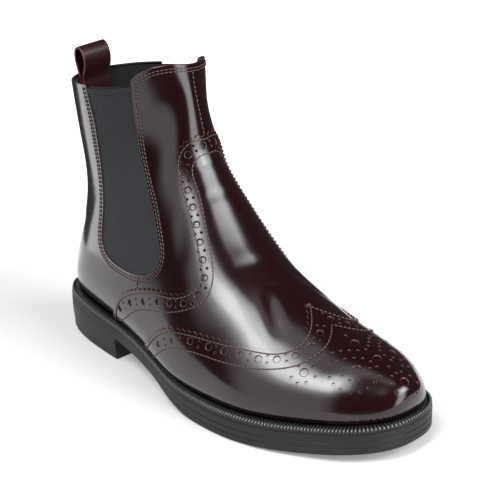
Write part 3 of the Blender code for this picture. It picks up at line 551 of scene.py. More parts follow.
    def foot_line(self, outer: bool, drop: float) -> Array:
        """Return the spots where the leather meets the welt on one side, from the heel to the toe's tip.

        Args:
            outer: whether the outer side is meant.
            drop: how far under the seam the line lies.

        Returns:
            Spots from the heel's back forward.
        """
        turns = np.arange(self.TURNS // 2 + 1)
        if not outer:
            turns = self.TURNS - turns
        points = self.points[:, turns]
        over = points[..., 2] - self.seam_height(points[..., 1]) + drop
        spots = []
        for row in range(self.ROWS - 1, 0, -1):
            if over[row, 0] >= 0:
                continue
            first = int(np.argmax(over[row] > 0))
            share = over[row, first - 1] / (over[row, first - 1] - over[row, first])
            turn = (first - 1 + share) / self.TURNS
            spots.append((self.along[row], turn if outer else 1.0 - turn))
        end = 0.0 if outer else 1.0
        line = np.array(spots)
        for place, row in ((0, 0), (-1, -1)):
            start = np.array([[line[row, 0], end]])
            line = np.concatenate([start, line]) if place == 0 else np.concatenate([line, start])
        return line

    def collar_line(self, around: Array, drop: float = 0.0) -> Array:
        """Return the spots of the collar's line at turns around it, lowered by a drop."""
        line = self.side_points(np.array(COLLAR))
        order = np.argsort(line[:, 0])
        points = self.points
        height = np.interp(points[..., 1], line[order, 0], line[order, 1]) - drop - self.COLLAR_INSET
        dip = self.FRONT_DIP * np.exp(-((self.around - 0.550) / 0.075)**2)
        over = points[..., 2] - height + dip
        low = int(0.6 * self.ROWS)
        found = []
        for turn in np.asarray(around, float):
            column = turn * self.TURNS
            j = min(int(column), self.TURNS - 1)
            share = column - j
            side = over[low:, j] * (1 - share) + over[low:, j + 1] * share
            first = int(np.argmax(side > 0))
            part = side[first - 1] / (side[first - 1] - side[first])
            found.append((self.along[low + first - 1] + part / self.ROWS, turn))
        return np.array(found)

    def project(self, line: Array, outer: bool) -> Array:
        """Return the spots on one side of the last that a side view shows at (y, z) places."""
        low, high = (0.03, 0.47) if outer else (0.53, 0.97)
        rows = np.arange(int(0.30 * self.ROWS), self.ROWS, 2)
        turns = np.arange(int(low * self.TURNS), int(high * self.TURNS), 2)
        flat = self.points[np.ix_(rows, turns)][..., 1:].reshape(-1, 2)
        away = np.linalg.norm(flat[None] - line[:, None], axis=2)
        nearest = np.argmin(away, axis=1)
        spots = np.stack([self.along[rows[nearest // len(turns)]], self.around[turns[nearest % len(turns)]]], 1)
        for _ in range(6):
            a = self._read(self.slope_along, spots)[:, 1:]
            b = self._read(self.slope_around, spots)[:, 1:]
            miss = line - self.place(spots)[:, 1:]
            span = a[:, 0] * b[:, 1] - a[:, 1] * b[:, 0]
            step_a = (miss[:, 0] * b[:, 1] - miss[:, 1] * b[:, 0]) / span
            step_b = (a[:, 0] * miss[:, 1] - a[:, 1] * miss[:, 0]) / span
            spots = spots + np.clip(np.stack([step_a, step_b], 1), -0.02, 0.02)
        return spots


class Trace:
    """A line drawn on the last, with evenly spaced spots."""

    SPACING = 0.4 * MM

    def __init__(self, last: Last, spots: Array, smooth: bool = False) -> None:
        """Take the line through spots, as a smooth curve if asked."""
        self.last = last
        spots = np.asarray(spots, float)
        if smooth:
            knots = run_of(last.place(spots))
            spots = natural_spline(knots, spots, np.linspace(0.0, knots[-1], 40 * len(knots)))
        run = run_of(last.place(spots))
        count = max(2, int(run[-1] / self.SPACING))
        even = np.linspace(0.0, run[-1], count)
        self.spots = np.stack([np.interp(even, run, spots[:, i]) for i in range(2)], 1)
        self.points = last.place(self.spots)
        self.run = run_of(self.points)

    @property
    def length(self) -> float:
        """The line's length."""
        return float(self.run[-1])

    def at(self, distances: Array) -> Array:
        """Return the spots at distances along the line."""
        return np.stack([np.interp(distances, self.run, self.spots[:, i]) for i in range(2)], -1)

    def tangents(self) -> Array:
        """Return the line's directions."""
        return unit(np.gradient(self.points, axis=0))

    def sides(self) -> Array:
        """Return the directions to the line's left, as seen from outside."""
        return unit(np.cross(self.last.normal(self.spots), self.tangents()))

    def beside(self, distance: Union[float, Array]) -> "Trace":
        """Return a line moved to the left by a distance."""
        shift = np.broadcast_to(distance, (len(self.spots),))
        steps = max(1, int(math.ceil(float(np.abs(shift).max()) / (1.5 * MM))))
        sides = self.sides()
        spots = self.spots
        for _ in range(steps):
            spots = self.last.moved(spots, sides * (shift / steps)[:, None])
        return Trace(self.last, spots)

    def mirrored(self) -> "Trace":
        """Return the same line on the other side of the boot, run the other way."""
        spots = self.spots[::-1].copy()
        spots[:, 1] = 1.0 - spots[:, 1]
        return Trace(self.last, spots)

    def part(self, start: float, end: float) -> "Trace":
        """Return the stretch between two distances."""
        return Trace(self.last, self.at(np.linspace(start, end, max(3, int((end - start) / self.SPACING)))))

    def followed_by(self, other: "Trace") -> "Trace":
        """Return this line and then another."""
        return Trace(self.last, np.concatenate([self.spots, other.spots]))


class Socket:
    """A value in a material's nodes, with Python's operators."""

    def __init__(self, paint: "Nodes", link: bpy.types.NodeSocket) -> None:
        """Keep the material's nodes and the value's own socket."""
        self.paint = paint
        self.link = link

    def _math(self, operation: str, first: Scalar, second: Scalar = 0.0) -> "Socket":
        """Add one Math node."""
        return self.paint.node("ShaderNodeMath", {"operation": operation}, {0: first, 1: second})

    def __add__(self, other: Scalar) -> "Socket":
        """Add."""
        return self._math("ADD", self, other)

    __radd__ = __add__

    def __sub__(self, other: Scalar) -> "Socket":
        """Take away."""
        return self._math("SUBTRACT", self, other)

    def __rsub__(self, other: Scalar) -> "Socket":
        """Take this away from another value."""
        return self._math("SUBTRACT", other, self)

    def __mul__(self, other: Scalar) -> "Socket":
        """Multiply."""
        return self._math("MULTIPLY", self, other)

    __rmul__ = __mul__

    def __truediv__(self, other: Scalar) -> "Socket":
        """Divide."""
        return self._math("DIVIDE", self, other)

    def power(self, exponent: float) -> "Socket":
        """Raise to a power."""
        return self._math("POWER", self, exponent)

    def sine(self) -> "Socket":
        """Take the sine."""
        return self._math("SINE", self)

    def larger(self, other: Scalar) -> "Socket":
        """Take the larger of two values."""
        return self._math("MAXIMUM", self, other)

    def eased(self, low: float, high: float) -> "Socket":
        """Ease from 0 at low to 1 at high."""
        settings = {"interpolation_type": "SMOOTHSTEP"}
        return self.paint.node("ShaderNodeMapRange", settings, {0: self, 1: low, 2: high, 3: 0.0, 4: 1.0})


class Nodes:
    """A tree of shader nodes."""

    def __init__(self, tree: bpy.types.NodeTree) -> None:
        """Keep the tree."""
        self.tree = tree

    def node(self, kind: str, settings: Mapping[str, object], sockets: Mapping[Union[int, str], object],
             output: Union[int, str] = 0) -> Socket:
        """Add one node.

        Args:
            kind: the node's type.
            settings: its settings, set first; stops are a ramp's places and colours.
            sockets: values or links of its sockets.
            output: which of its outputs is used.

        Returns:
            The output.
        """
        made = self.tree.nodes.new(kind)
        for key, value in settings.items():
            if key == "stops":
                for element, (place, colour) in zip(made.color_ramp.elements, value):
                    element.position = place
                    element.color = colour
            else:
                setattr(made, key, value)
        for key, value in sockets.items():
            self._feed(made.inputs[key], value)
        return Socket(self, made.outputs[output])

    def _feed(self, socket: bpy.types.NodeSocket, value: object) -> None:
        """Link a value to a socket, or set it there."""
        if isinstance(value, Socket):
            self.tree.links.new(value.link, socket)
        elif isinstance(value, tuple) and len(value) == 3 and socket.type == "RGBA":
            socket.default_value = (*value, 1.0)
        else:
            socket.default_value = value


class Paint(Nodes):
    """A material and the nodes that make its finish."""

    def __init__(self, name: str) -> None:
        """Start a material with one shader."""
        self.material = bpy.data.materials.new(name)
        self.material.use_nodes = True
        super().__init__(self.material.node_tree)
        self.shader = self.tree.nodes["Principled BSDF"]

    def attribute(self, name: str, vector: bool = False) -> Socket:
        """Read a mesh attribute, as a vector or as a number."""
        output = "Vector" if vector else "Fac"
        return self.node("ShaderNodeAttribute", {"attribute_name": name}, {}, output)

    def noise(self, scale: float, detail: float = 2.0, stretch: tuple[float, float, float] = (1, 1, 1)) -> Socket:
        """Make noise in the object's own metres."""
        place = self.node("ShaderNodeTexCoord", {}, {}, "Object")
        scaled = self.node("ShaderNodeVectorMath", {"operation": "MULTIPLY"}, {0: place, 1: stretch})
        return self.node("ShaderNodeTexNoise", {}, {"Vector": scaled, "Scale": scale, "Detail": detail})

    def mix(self, factor: Scalar, first: object, second: object) -> Socket:
        """Mix two colours."""
        settings = {"data_type": "RGBA"}
        return self.node("ShaderNodeMix", settings, {0: factor, 6: first, 7: second}, 2)

    def bump(self, height: Socket, depth: float, strength: float = 1.0, under: object = None) -> Socket:
        """Turn a height into a bumped normal."""
        sockets = {"Height": height, "Distance": depth, "Strength": strength}
        if under is not None:
            sockets["Normal"] = under
        return self.node("ShaderNodeBump", {}, sockets)

    def finish(self, **sockets: object) -> bpy.types.Material:
        """Feed the shader's sockets, named in lower case with underscores, and return the material."""
        for key, value in sockets.items():
            name = key.replace("_", " ").title().replace("Ior", "IOR")
            self._feed(self.shader.inputs[name], value)
        return self.material


@dataclass(frozen=True)
class PolishedLeather:
    """Brushed-off glossy leather: dark burgundy with raw rims where it is cut, painted highlights in the same rim
    colour on the soft edges and the collar's roll, and near-black painted shade in holes, under edges and inside
    the collar's roll.
    """

    name: str = "polished leather"
    colour: tuple[float, float, float] = (0.0130, 0.0010, 0.0021)
    deep: tuple[float, float, float] = (0.0050, 0.0007, 0.0011)
    # Rim colour of raw cut edges, also used as a painted highlight on the soft edges and the collar's roll
    rim: tuple[float, float, float] = (0.150, 0.030, 0.036)
    shade: tuple[float, float, float] = (0.002, 0.001, 0.001)
    roughness: float = 0.15
    coat: float = 0.45
    grain: float = 1.0

    def material(self) -> bpy.types.Material:
        """Build the material."""
        paint = Paint(self.name)
        raw = paint.attribute("raw")
        shade = paint.attribute("shade")
        cloud = paint.noise(38.0, 3.0)
        fine = paint.noise(900.0, 2.0)
        base = paint.mix(cloud, self.colour, self.deep)
        rimmed = paint.mix(raw, base, self.rim)
        # Painted shade: mixes towards the near-black shade colour
        colour = paint.mix(shade, rimmed, self.shade)
        rough = self.roughness + 0.05 * cloud + 0.35 * raw + 0.70 * shade
        swell = paint.bump(paint.noise(55.0, 1.0), 0.25 * MM, 0.5 * self.grain)
        normal = paint.bump(fine, 0.012 * MM, 1.0 * self.grain, swell)
        glaze = self.coat * (1.0 - raw.larger(shade))
        # Metallic follows the painted shade, so those spots reflect almost nothing
        return paint.finish(base_color=colour, roughness=rough, metallic=shade, normal=normal, coat_weight=glaze,
                            coat_roughness=0.10, ior=1.5)


@dataclass(frozen=True)
class RibbedElastic:
    """Charcoal elastic with fine ribs up and across it: the weave's own tone plus painted shade in the weave's
    troughs.
    """

    name: str = "ribbed elastic"
    colour: tuple[float, float, float] = (0.046, 0.048, 0.052)
    deep: tuple[float, float, float] = (0.002, 0.0022, 0.0025)
    across: float = 1.50 * MM
    down: float = 1.15 * MM

    def material(self) -> bpy.types.Material:
        """Build the material."""
        paint = Paint(self.name)
        place = paint.attribute("weave", vector=True)
        x = paint.node("ShaderNodeSeparateXYZ", {}, {0: place}, 0)
        y = paint.node("ShaderNodeSeparateXYZ", {}, {0: place}, 1)
        rib = 0.5 + 0.5 * (x * (2 * math.pi / self.across)).sine()
        thread = 0.5 + 0.5 * (y * (2 * math.pi / self.down)).sine()
        fuzz = paint.noise(1500.0, 2.0)
        height = 0.35 * rib + 0.65 * thread + 0.4 * fuzz
        # Colour follows the weave's height: the weave's own tone, with painted shade darkening the troughs
        colour = paint.mix(0.30 * rib + 0.55 * thread + 0.15 * fuzz, self.deep, self.colour)
        normal = paint.bump(height, 0.16 * MM, 1.0)
        return paint.finish(base_color=colour, roughness=0.85, normal=normal, specular_ior_level=0.3)


@dataclass(frozen=True)
class MouldedRubber:
    """Charcoal moulded rubber with a satin skin, painted shade in its grooves, between the welt's ribs and under
    overhangs, and a painted highlight on the welt's rib crests.
    """

    name: str = "moulded rubber"
    colour: tuple[float, float, float] = (0.0085, 0.0090, 0.0100)
    worn: tuple[float, float, float] = (0.0130, 0.0140, 0.0150)
    # Light grey of the painted highlight on the welt's rib crests
    tip: tuple[float, float, float] = (0.300, 0.300, 0.295)
    roughness: float = 0.40

    def material(self) -> bpy.types.Material:
        """Build the material."""
        paint = Paint(self.name)
        shade = paint.attribute("shade")
        cloud = paint.noise(60.0, 4.0)
        # The raw attribute here carries the painted highlight on the welt's rib crests
        skin = paint.mix(paint.attribute("raw"), paint.mix(cloud, self.colour, self.worn), self.tip)
        # Painted shade mixes towards near black
        colour = paint.mix(shade, skin, (0.0015, 0.0015, 0.0018))
        normal = paint.bump(paint.noise(1400.0, 3.0), 0.03 * MM, 0.7)
        rough = self.roughness + 0.12 * cloud
        return paint.finish(base_color=colour, roughness=rough, normal=normal, specular_ior_level=0.32)


@dataclass(frozen=True)
class Cloth:
    """Plain close cloth or suede, for the lining and the footbed."""

    name: str
    colour: tuple[float, float, float]
    deep: tuple[float, float, float]
    roughness: float = 0.9

    def material(self) -> bpy.types.Material:
        """Build the material."""
        paint = Paint(self.name)
        fuzz = paint.noise(1300.0, 3.0)
        colour = paint.mix(fuzz, self.deep, self.colour)
        normal = paint.bump(fuzz, 0.08 * MM, 0.8)
        return paint.finish(base_color=colour, roughness=self.roughness, normal=normal, sheen_weight=0.15)


@dataclass(frozen=True)
class Thread:
    """Twisted thread, brown with a pink cast, with painted shade where it enters the leather."""

    name: str = "thread"
    colour: tuple[float, float, float] = (0.200, 0.110, 0.100)
    deep: tuple[float, float, float] = (0.060, 0.024, 0.024)
    shade: tuple[float, float, float] = (0.004, 0.002, 0.002)

    def material(self) -> bpy.types.Material:
        """Build the material."""
        paint = Paint(self.name)
        twist = paint.noise(2200.0, 1.0)
        # The shade attribute mixes in painted shade at the stitch ends and on the needle-hole discs
        colour = paint.mix(paint.attribute("shade"), paint.mix(twist, self.deep, self.colour), self.shade)
        normal = paint.bump(twist, 0.05 * MM, 0.8)
        return paint.finish(base_color=colour, roughness=0.55, normal=normal)


class Finish(Enum):
    """The finishes that pieces are made in."""

    LEATHER = PolishedLeather()
    STRAP = PolishedLeather(name="strap leather", roughness=0.24, coat=0.45)
    ELASTIC = RibbedElastic()
    RUBBER = MouldedRubber()
    LINING = Cloth("lining cloth", (0.0045, 0.0045, 0.005), (0.002, 0.002, 0.0022))
    FOOTBED = Cloth("footbed leather", (0.030, 0.022, 0.018), (0.016, 0.012, 0.010), 0.7)
    THREAD = Thread()
    DARK_THREAD = Thread("dark thread", (0.060, 0.058, 0.060), (0.022, 0.021, 0.022))

    def material(self) -> bpy.types.Material:
        """Return the finish's material, built once."""
        made = bpy.data.materials.get(self.value.name)
        return made if made is not None else self.value.material()

    @property
    def slot(self) -> str:
        """The record's material slot that the finish stands for."""
        slots = {Finish.ELASTIC: "elastic", Finish.RUBBER: "rubber", Finish.FOOTBED: "board"}
        return slots.get(self, "leather")


class Stock:
    """Points, faces and attributes that are gathered into one mesh."""

    def __init__(self) -> None:
        """Start empty."""
        self.points: list[Array] = []
        self.normals: list[Array] = []
        self.faces: list[tuple[int, ...]] = []
        self.extras: dict[str, list[Array]] = {"raw": [], "shade": [], "weave": []}
        self.count = 0

    def add(self, points: Array, normals: Array, faces: Sequence[Sequence[int]],
            raw: Union[float, Array] = 0.0, shade: Union[float, Array] = 0.0, weave: Array = None) -> int:
        """Add points with their normals and faces.

        Args:
            points: the new points.
            normals: a normal for each.
            faces: corners, counted among the new points.
            raw: how far each point is a raw edge, 0 to 1; on the welt, the soft edges and the collar's roll this
                is a painted highlight.
            shade: how much painted shade each point has, 0 to 1.
            weave: flat places for a weave, or None.

        Returns:
            The number of the first new point.
        """
        first = self.count
        amount = len(points)
        self.points.append(points)
        self.normals.append(normals)
        self.faces += [tuple(int(corner) + first for corner in face) for face in faces]
        self.extras["raw"].append(np.broadcast_to(raw, (amount,)).astype(float))
        self.extras["shade"].append(np.broadcast_to(shade, (amount,)).astype(float))
        self.extras["weave"].append(np.zeros((amount, 3)) if weave is None else weave)
        self.count += amount
        return first

    def strip(self, rows: Sequence[Array], normals: Sequence[Array], closed: bool = False,
              raw: Sequence[float] = (), shade: Sequence[float] = ()) -> None:
        """Add a grid of faces between rows of points, each row as long as the others."""
        size = len(rows[0])
        raws = np.repeat(np.array(raw if len(raw) else [0.0] * len(rows)), size)
        shades = np.repeat(np.array(shade if len(shade) else [0.0] * len(rows)), size)
        faces = []
        for row in range(len(rows) - 1):
            for i in range(size if closed else size - 1):
                j = (i + 1) % size
                faces.append((row * size + i, row * size + j, (row + 1) * size + j, (row + 1) * size + i))
        self.add(np.concatenate(rows), np.concatenate(normals), faces, raws, shades)

    def build(self, name: str, finish: Finish, replaced: Sequence[str] = ()) -> bpy.types.Object:
        """Make the mesh, dress it and let it ride on the body.

        Args:
            name: the piece's name.
            finish: its finish.
            replaced: the solids it stands for.

        Returns:
            The piece.
        """
        mesh = bpy.data.meshes.new(name)
        points = np.concatenate(self.points)
        normals = np.concatenate(self.normals)
        self._turn_faces(points, normals)
        mesh.from_pydata(points.tolist(), [], self.faces)
        mesh.polygons.foreach_set("use_smooth", [True] * len(mesh.polygons))
        for key in ("raw", "shade"):
            attribute = mesh.attributes.new(key, "FLOAT", "POINT")
            attribute.data.foreach_set("value", np.concatenate(self.extras[key]).astype(np.float32))
        weave = np.concatenate(self.extras["weave"])
        if np.any(weave):
            attribute = mesh.attributes.new("weave", "FLOAT_VECTOR", "POINT")
            attribute.data.foreach_set("vector", weave.astype(np.float32).ravel())
        mesh.normals_split_custom_set_from_vertices(unit(normals).tolist())
        piece = bpy.data.objects.new(name, mesh)
        bpy.context.scene.collection.objects.link(piece)
        mesh.materials.append(finish.material())
        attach(piece, BODY)
        if replaced:
            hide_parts(*replaced)
        log.info("%s: %d faces", name, len(mesh.polygons))
        return piece

    def _turn_faces(self, points: Array, normals: Array) -> None:
        """Turn each face to the side that its normals point to."""
        for number, face in enumerate(self.faces):
            a, b, c = points[face[0]], points[face[1]], points[face[2]]
            if len(face) == 4:
                turn = np.cross(c - a, points[face[3]] - b)
            else:
                turn = np.cross(b - a, c - a)
            if turn @ (normals[face[0]] + normals[face[2]]) < 0:
                self.faces[number] = face[::-1]


@dataclass(frozen=True)
class Punch:
    """A round hole's sizes."""

    radius: float
    depth: float
    sides: int
    lip: float
    floor_shade: float


@dataclass
class Hole:
    """One hole: where it is and which punch made it."""

    spot: tuple[float, float]
    punch: Punch


def inside(places: Array, outline: Array) -> Array:
    """Return which flat places lie inside a closed outline."""
    result = np.zeros(len(places), bool)
    x, y = places[:, 0], places[:, 1]
    for (x1, y1), (x2, y2) in zip(outline, np.roll(outline, -1, axis=0)):
        if y1 == y2:
            continue
        over = (y1 > y) != (y2 > y)
        cross = x1 + (y - y1) / (y2 - y1) * (x2 - x1)
        result ^= over & (x < cross)
    return result


class LeatherSheet:
    """A piece laid on the last, cut to an outline and punched with holes."""

    def __init__(self, last: Last, outline: Array, lift: Callable[[Array], Array], holes: Sequence[Hole] = (),
                 spacing: float = 2.0 * MM) -> None:
        """Keep the piece's plan.

        Args:
            last: the surface.
            outline: spots round the piece.
            lift: gives the height of the piece's face over the last at spots.
            holes: its holes.
            spacing: how far apart the mesh's points lie.
        """
        self.last = last
        self.outline = outline
        self.lift = lift
        self.holes = list(holes)
        self.spacing = spacing

    def _ring(self, hole: Hole, radius: float) -> Array:
        """Return spots on a circle round a hole's centre."""
        centre = np.array([hole.spot])
        normal = self.last.normal(centre)[0]
        first = unit(np.cross(normal, [0.0, 0.3, 1.0]))
        second = np.cross(normal, first)
        turn = np.linspace(0.0, 2 * math.pi, hole.punch.sides, endpoint=False)[:, None]
        vectors = radius * (np.cos(turn) * first + np.sin(turn) * second)
        return self.last.moved(np.repeat(centre, len(vectors), axis=0), vectors)

    def _grid(self, outline: Array, keep_off: KDTree) -> Array:
        """Return flat places spread evenly inside the outline."""
        last = self.last
        low, high = outline.min(axis=0), outline.max(axis=0)
        rows = np.arange(low[1], high[1], self.spacing * 0.87)
        places = []
        for number, row in enumerate(rows):
            start = low[0] + (number % 2) * 0.5 * self.spacing
            columns = np.arange(start, high[0], self.spacing)
            places.append(np.stack([columns, np.full(len(columns), row)], 1))
        places = np.concatenate(places)
        places = places[inside(places, outline)]
        for hole in self.holes:
            ring = last.chart(self._ring(hole, hole.punch.radius * hole.punch.lip))
            places = places[~inside(places, ring)]
        near = 0.5 * self.spacing
        return np.array([p for p in places if keep_off.find((p[0], p[1], 0.0))[2] > near])

    def cut(self, stock: Stock, raw: float = 0.0, weave: bool = False) -> None:
        """Add the piece's face and its holes to the stock."""
        last = self.last
        outline = last.chart(self.outline)
        keep = np.concatenate([[True], np.linalg.norm(np.diff(outline, axis=0), axis=1) > 0.02 * MM])
        outline = outline[keep]
        loops = [outline]
        for hole in self.holes:
            loops.append(last.chart(self._ring(hole, hole.punch.radius * hole.punch.lip)))
        owner = np.concatenate([np.full(len(loop), number) for number, loop in enumerate(loops)])
        rim = np.concatenate(loops)
        tree = KDTree(len(rim))
        for number, place in enumerate(rim):
            tree.insert((place[0], place[1], 0.0), number)
        tree.balance()
        grid = self._grid(outline, tree)
        edges = []
        start = 0
        for loop in loops:
            edges += [(start + i, start + (i + 1) % len(loop)) for i in range(len(loop))]
            start += len(loop)
        everything = np.concatenate([rim, grid])
        result = delaunay_2d_cdt([Vector(p) for p in everything], edges, [], 0, 1e-8)
        places = np.array([tuple(v) for v in result[0]])
        origins = result[3]
        owners = np.array([owner[o[0]] if len(o) and o[0] < len(owner) else -1 for o in origins])
        faces = np.array([face for face in result[2] if len(face) == 3])
        centres = places[faces].mean(axis=1)
        kept = inside(centres, outline)
        same = owners[faces]
        in_hole = (same[:, 0] > 0) & (same[:, 0] == same[:, 1]) & (same[:, 1] == same[:, 2])
        faces = faces[kept & ~in_hole]
        spots = last.unchart(places)
        points = last.place(spots, self.lift(spots))
        flat = np.concatenate([places, np.zeros((len(places), 1))], 1) if weave else None
        stock.add(points, last.normal(spots), faces, raw, 0.0, flat)
        for hole in self.holes:
            self._cup(stock, hole)

    def _cup(self, stock: Stock, hole: Hole) -> None:
        """Add a hole's rolled lip, wall and floor, with painted shade down the wall and on the floor."""
        punch = hole.punch
        last = self.last
        centre = np.array([hole.spot])
        middle = last.place(centre)[0]
        rows = []
        normals = []
        plan = (
            # radius share, drop, lean of the normal
            (punch.lip, 0.0, 0.25),
            (0.5 * (punch.lip + 1.0), 0.06 * punch.depth, 0.7),
            (1.0, 0.22 * punch.depth, 1.2),
            (0.96, punch.depth, 3.0),
        )
        for share, drop, lean in plan:
            ring = self._ring(hole, punch.radius * share)
            up = last.normal(ring)
            rows.append(last.place(ring, self.lift(ring) - drop))
            inward = unit(middle - last.place(ring))
            normals.append(unit(up + lean * inward))
        # Raw cut colour round the lip and upper wall; painted shade deepening down the wall
        stock.strip(rows, normals, True, (0.05, 0.45, 0.80, 0.2), (0.0, 0.0, 0.3, 1.0))
        floor = self._ring(hole, punch.radius * 0.96)
        base = last.place(floor, self.lift(floor) - punch.depth)
        top = last.place(centre, self.lift(centre) - 0.86 * punch.depth)
        inner = 0.72 * base + 0.28 * top
        points = np.concatenate([base, inner, top])
        up = last.normal(floor)
        all_up = np.concatenate([up, up, last.normal(centre)])
        size = len(base)
        faces = []
        for i in range(size):
            j = (i + 1) % size
            faces.append((i, j, size + j, size + i))
            faces.append((size + i, size + j, 2 * size))
        # Painted shade: full round the floor's edge, the punch's floor_shade over the rest
        shade = np.concatenate([np.full(size, 1.0), np.full(size + 1, punch.floor_shade)])
        stock.add(points, all_up, faces, 0.0, shade)


class Edge:
    """The cut edge of a sheet, swept along a trace."""

    def __init__(self, last: Last, trace: Trace, lift: Callable[[Array], Array], outward: float) -> None:
        """Keep the edge's line; outward is +1 if the piece's outside is on the line's left, else -1."""
        self.last = last
        self.spots = trace.spots
        self.points = last.place(trace.spots, lift(trace.spots))
        self.up = last.normal(trace.spots)
        self.out = trace.sides() * outward

    def sweep(self, stock: Stock, profile: Sequence[tuple[float, float, float, float, float]]) -> None:
        """Add the edge's faces.

        Args:
            stock: takes the faces.
            profile: steps of (out, down, lean of the normal outwards in degrees, raw rim colour, painted shade).
        """
        rows = []
        normals = []
        for out, down, lean, _, _ in profile:
            rows.append(self.points + self.out * out - self.up * down)
            turn = math.radians(lean)
            normals.append(self.up * math.cos(turn) + self.out * math.sin(turn))
        stock.strip(rows, normals, False, [row[3] for row in profile], [row[4] for row in profile])


# A cut edge: raw cut colour on its wall and painted shade at its foot, where it meets the piece below
CUT_EDGE = (
    # out, down, lean, raw, painted shade
    (0.0, 0.0, 15.0, 0.2, 0.0),
    (0.10 * MM, 0.08 * MM, 50.0, 0.8, 0.0),
    (0.14 * MM, 0.25 * MM, 85.0, 1.0, 0.1),
    (0.10 * MM, 0.60 * MM, 95.0, 0.7, 0.5),
    (0.05 * MM, 1.10 * MM, 95.0, 0.2, 1.0),
)
# A soft edge: the raw column paints a highlight along its rounded rim, and painted shade darkens its foot over the
# elastic
SOFT_EDGE = (
    # out, down, lean, raw as a painted highlight, painted shade
    (0.0, 0.0, 8.0, 0.0, 0.0),
    (0.16 * MM, 0.05 * MM, 35.0, 0.05, 0.0),
    (0.30 * MM, 0.20 * MM, 65.0, 0.25, 0.0),
    (0.34 * MM, 0.45 * MM, 92.0, 0.45, 0.2),
    (0.30 * MM, 1.20 * MM, 95.0, 0.1, 1.0),
)


class StitchRow:
    """A row of thread stitches along a trace."""

    def __init__(self, last: Last, trace: Trace, lift: Callable[[Array], Array], pitch: float = 2.5 * MM,
                 width: float = 0.72 * MM) -> None:
        """Keep the row's plan."""
        self.last = last
        self.trace = trace
        self.lift = lift
        self.pitch = pitch
        self.width = width

    def sew(self, stock: Stock) -> None:
        """Add the row's stitches, darkened with painted shade at their ends, and painted shade discs at the needle
        holes to the stock.
        """
        last = self.last
        count = max(1, int(self.trace.length / self.pitch))
        pitch = self.trace.length / count
        shares = np.array([-0.36, -0.29, -0.12, 0.12, 0.29, 0.36])
        rises = np.array([-0.35, 0.35, 0.55, 0.55, 0.35, -0.35]) * self.width
        thick = np.array([0.35, 0.85, 1.0, 1.0, 0.85, 0.35]) * 0.5 * self.width
        # Painted shade at each stitch's ends, where the thread dips into the leather
        dark = np.array([1.0, 0.35, 0.0, 0.0, 0.35, 1.0])
        centres = (np.arange(count) + 0.5) * pitch
        spots = self.trace.at((centres[:, None] + shares[None] * pitch).ravel())
        up = last.normal(spots).reshape(count, 6, 3)
        line = last.place(spots, self.lift(spots)).reshape(count, 6, 3)
        ahead = unit(line[:, -1] - line[:, 0])[:, None]
        side = unit(np.cross(up, ahead))
        line = line + up * rises[None, :, None]
        corners = 6
        turns = np.arange(corners) * 2 * math.pi / corners
        ring = []
        faces = []
        for station in range(6):
            for k in range(corners):
                ring.append((station, math.cos(turns[k]), math.sin(turns[k])))
        for station in range(5):
            for k in range(corners):
                j = (k + 1) % corners
                a, b = station * corners + k, station * corners + j
                faces.append((a, b, b + corners, a + corners))
        stations = np.array([r[0] for r in ring])
        sideways = np.array([r[1] for r in ring])[None, :, None]
        upwards = np.array([r[2] for r in ring])[None, :, None]
        direction = side[:, stations] * sideways + up[:, stations] * upwards
        points = line[:, stations] + direction * thick[stations][None, :, None]
        size = len(ring)
        all_faces = [tuple(c + i * size for c in face) for i in range(count) for face in faces]
        shades = np.tile(dark[stations], count)
        stock.add(points.reshape(-1, 3), direction.reshape(-1, 3), all_faces, 0.0, shades)
        self._needle_hole_shade(stock, count, pitch)

    def _needle_hole_shade(self, stock: Stock, count: int, pitch: float) -> None:
        """Add a flat near-black disc at each needle hole between two stitches: painted shade for the hole."""
        last = self.last
        spots = self.trace.at(np.arange(count + 1) * pitch)
        up = last.normal(spots)
        centre = last.place(spots, self.lift(spots) + 0.03 * MM)
        first = unit(np.cross(up, [0.0, 0.3, 1.0]))
        second = np.cross(up, first)
        turns = np.arange(7) * 2 * math.pi / 7
        ring = centre[:, None] + 0.68 * self.width * (
            first[:, None] * np.cos(turns)[None, :, None] + second[:, None] * np.sin(turns)[None, :, None])
        points = np.concatenate([centre[:, None], ring], 1)
        faces = []
        for i in range(count + 1):
            for k in range(7):
                faces.append((i * 8, i * 8 + 1 + k, i * 8 + 1 + (k + 1) % 7))
        normals = np.repeat(up[:, None], 8, axis=1)
        stock.add(points.reshape(-1, 3), normals.reshape(-1, 3), faces, 0.0, 1.0)


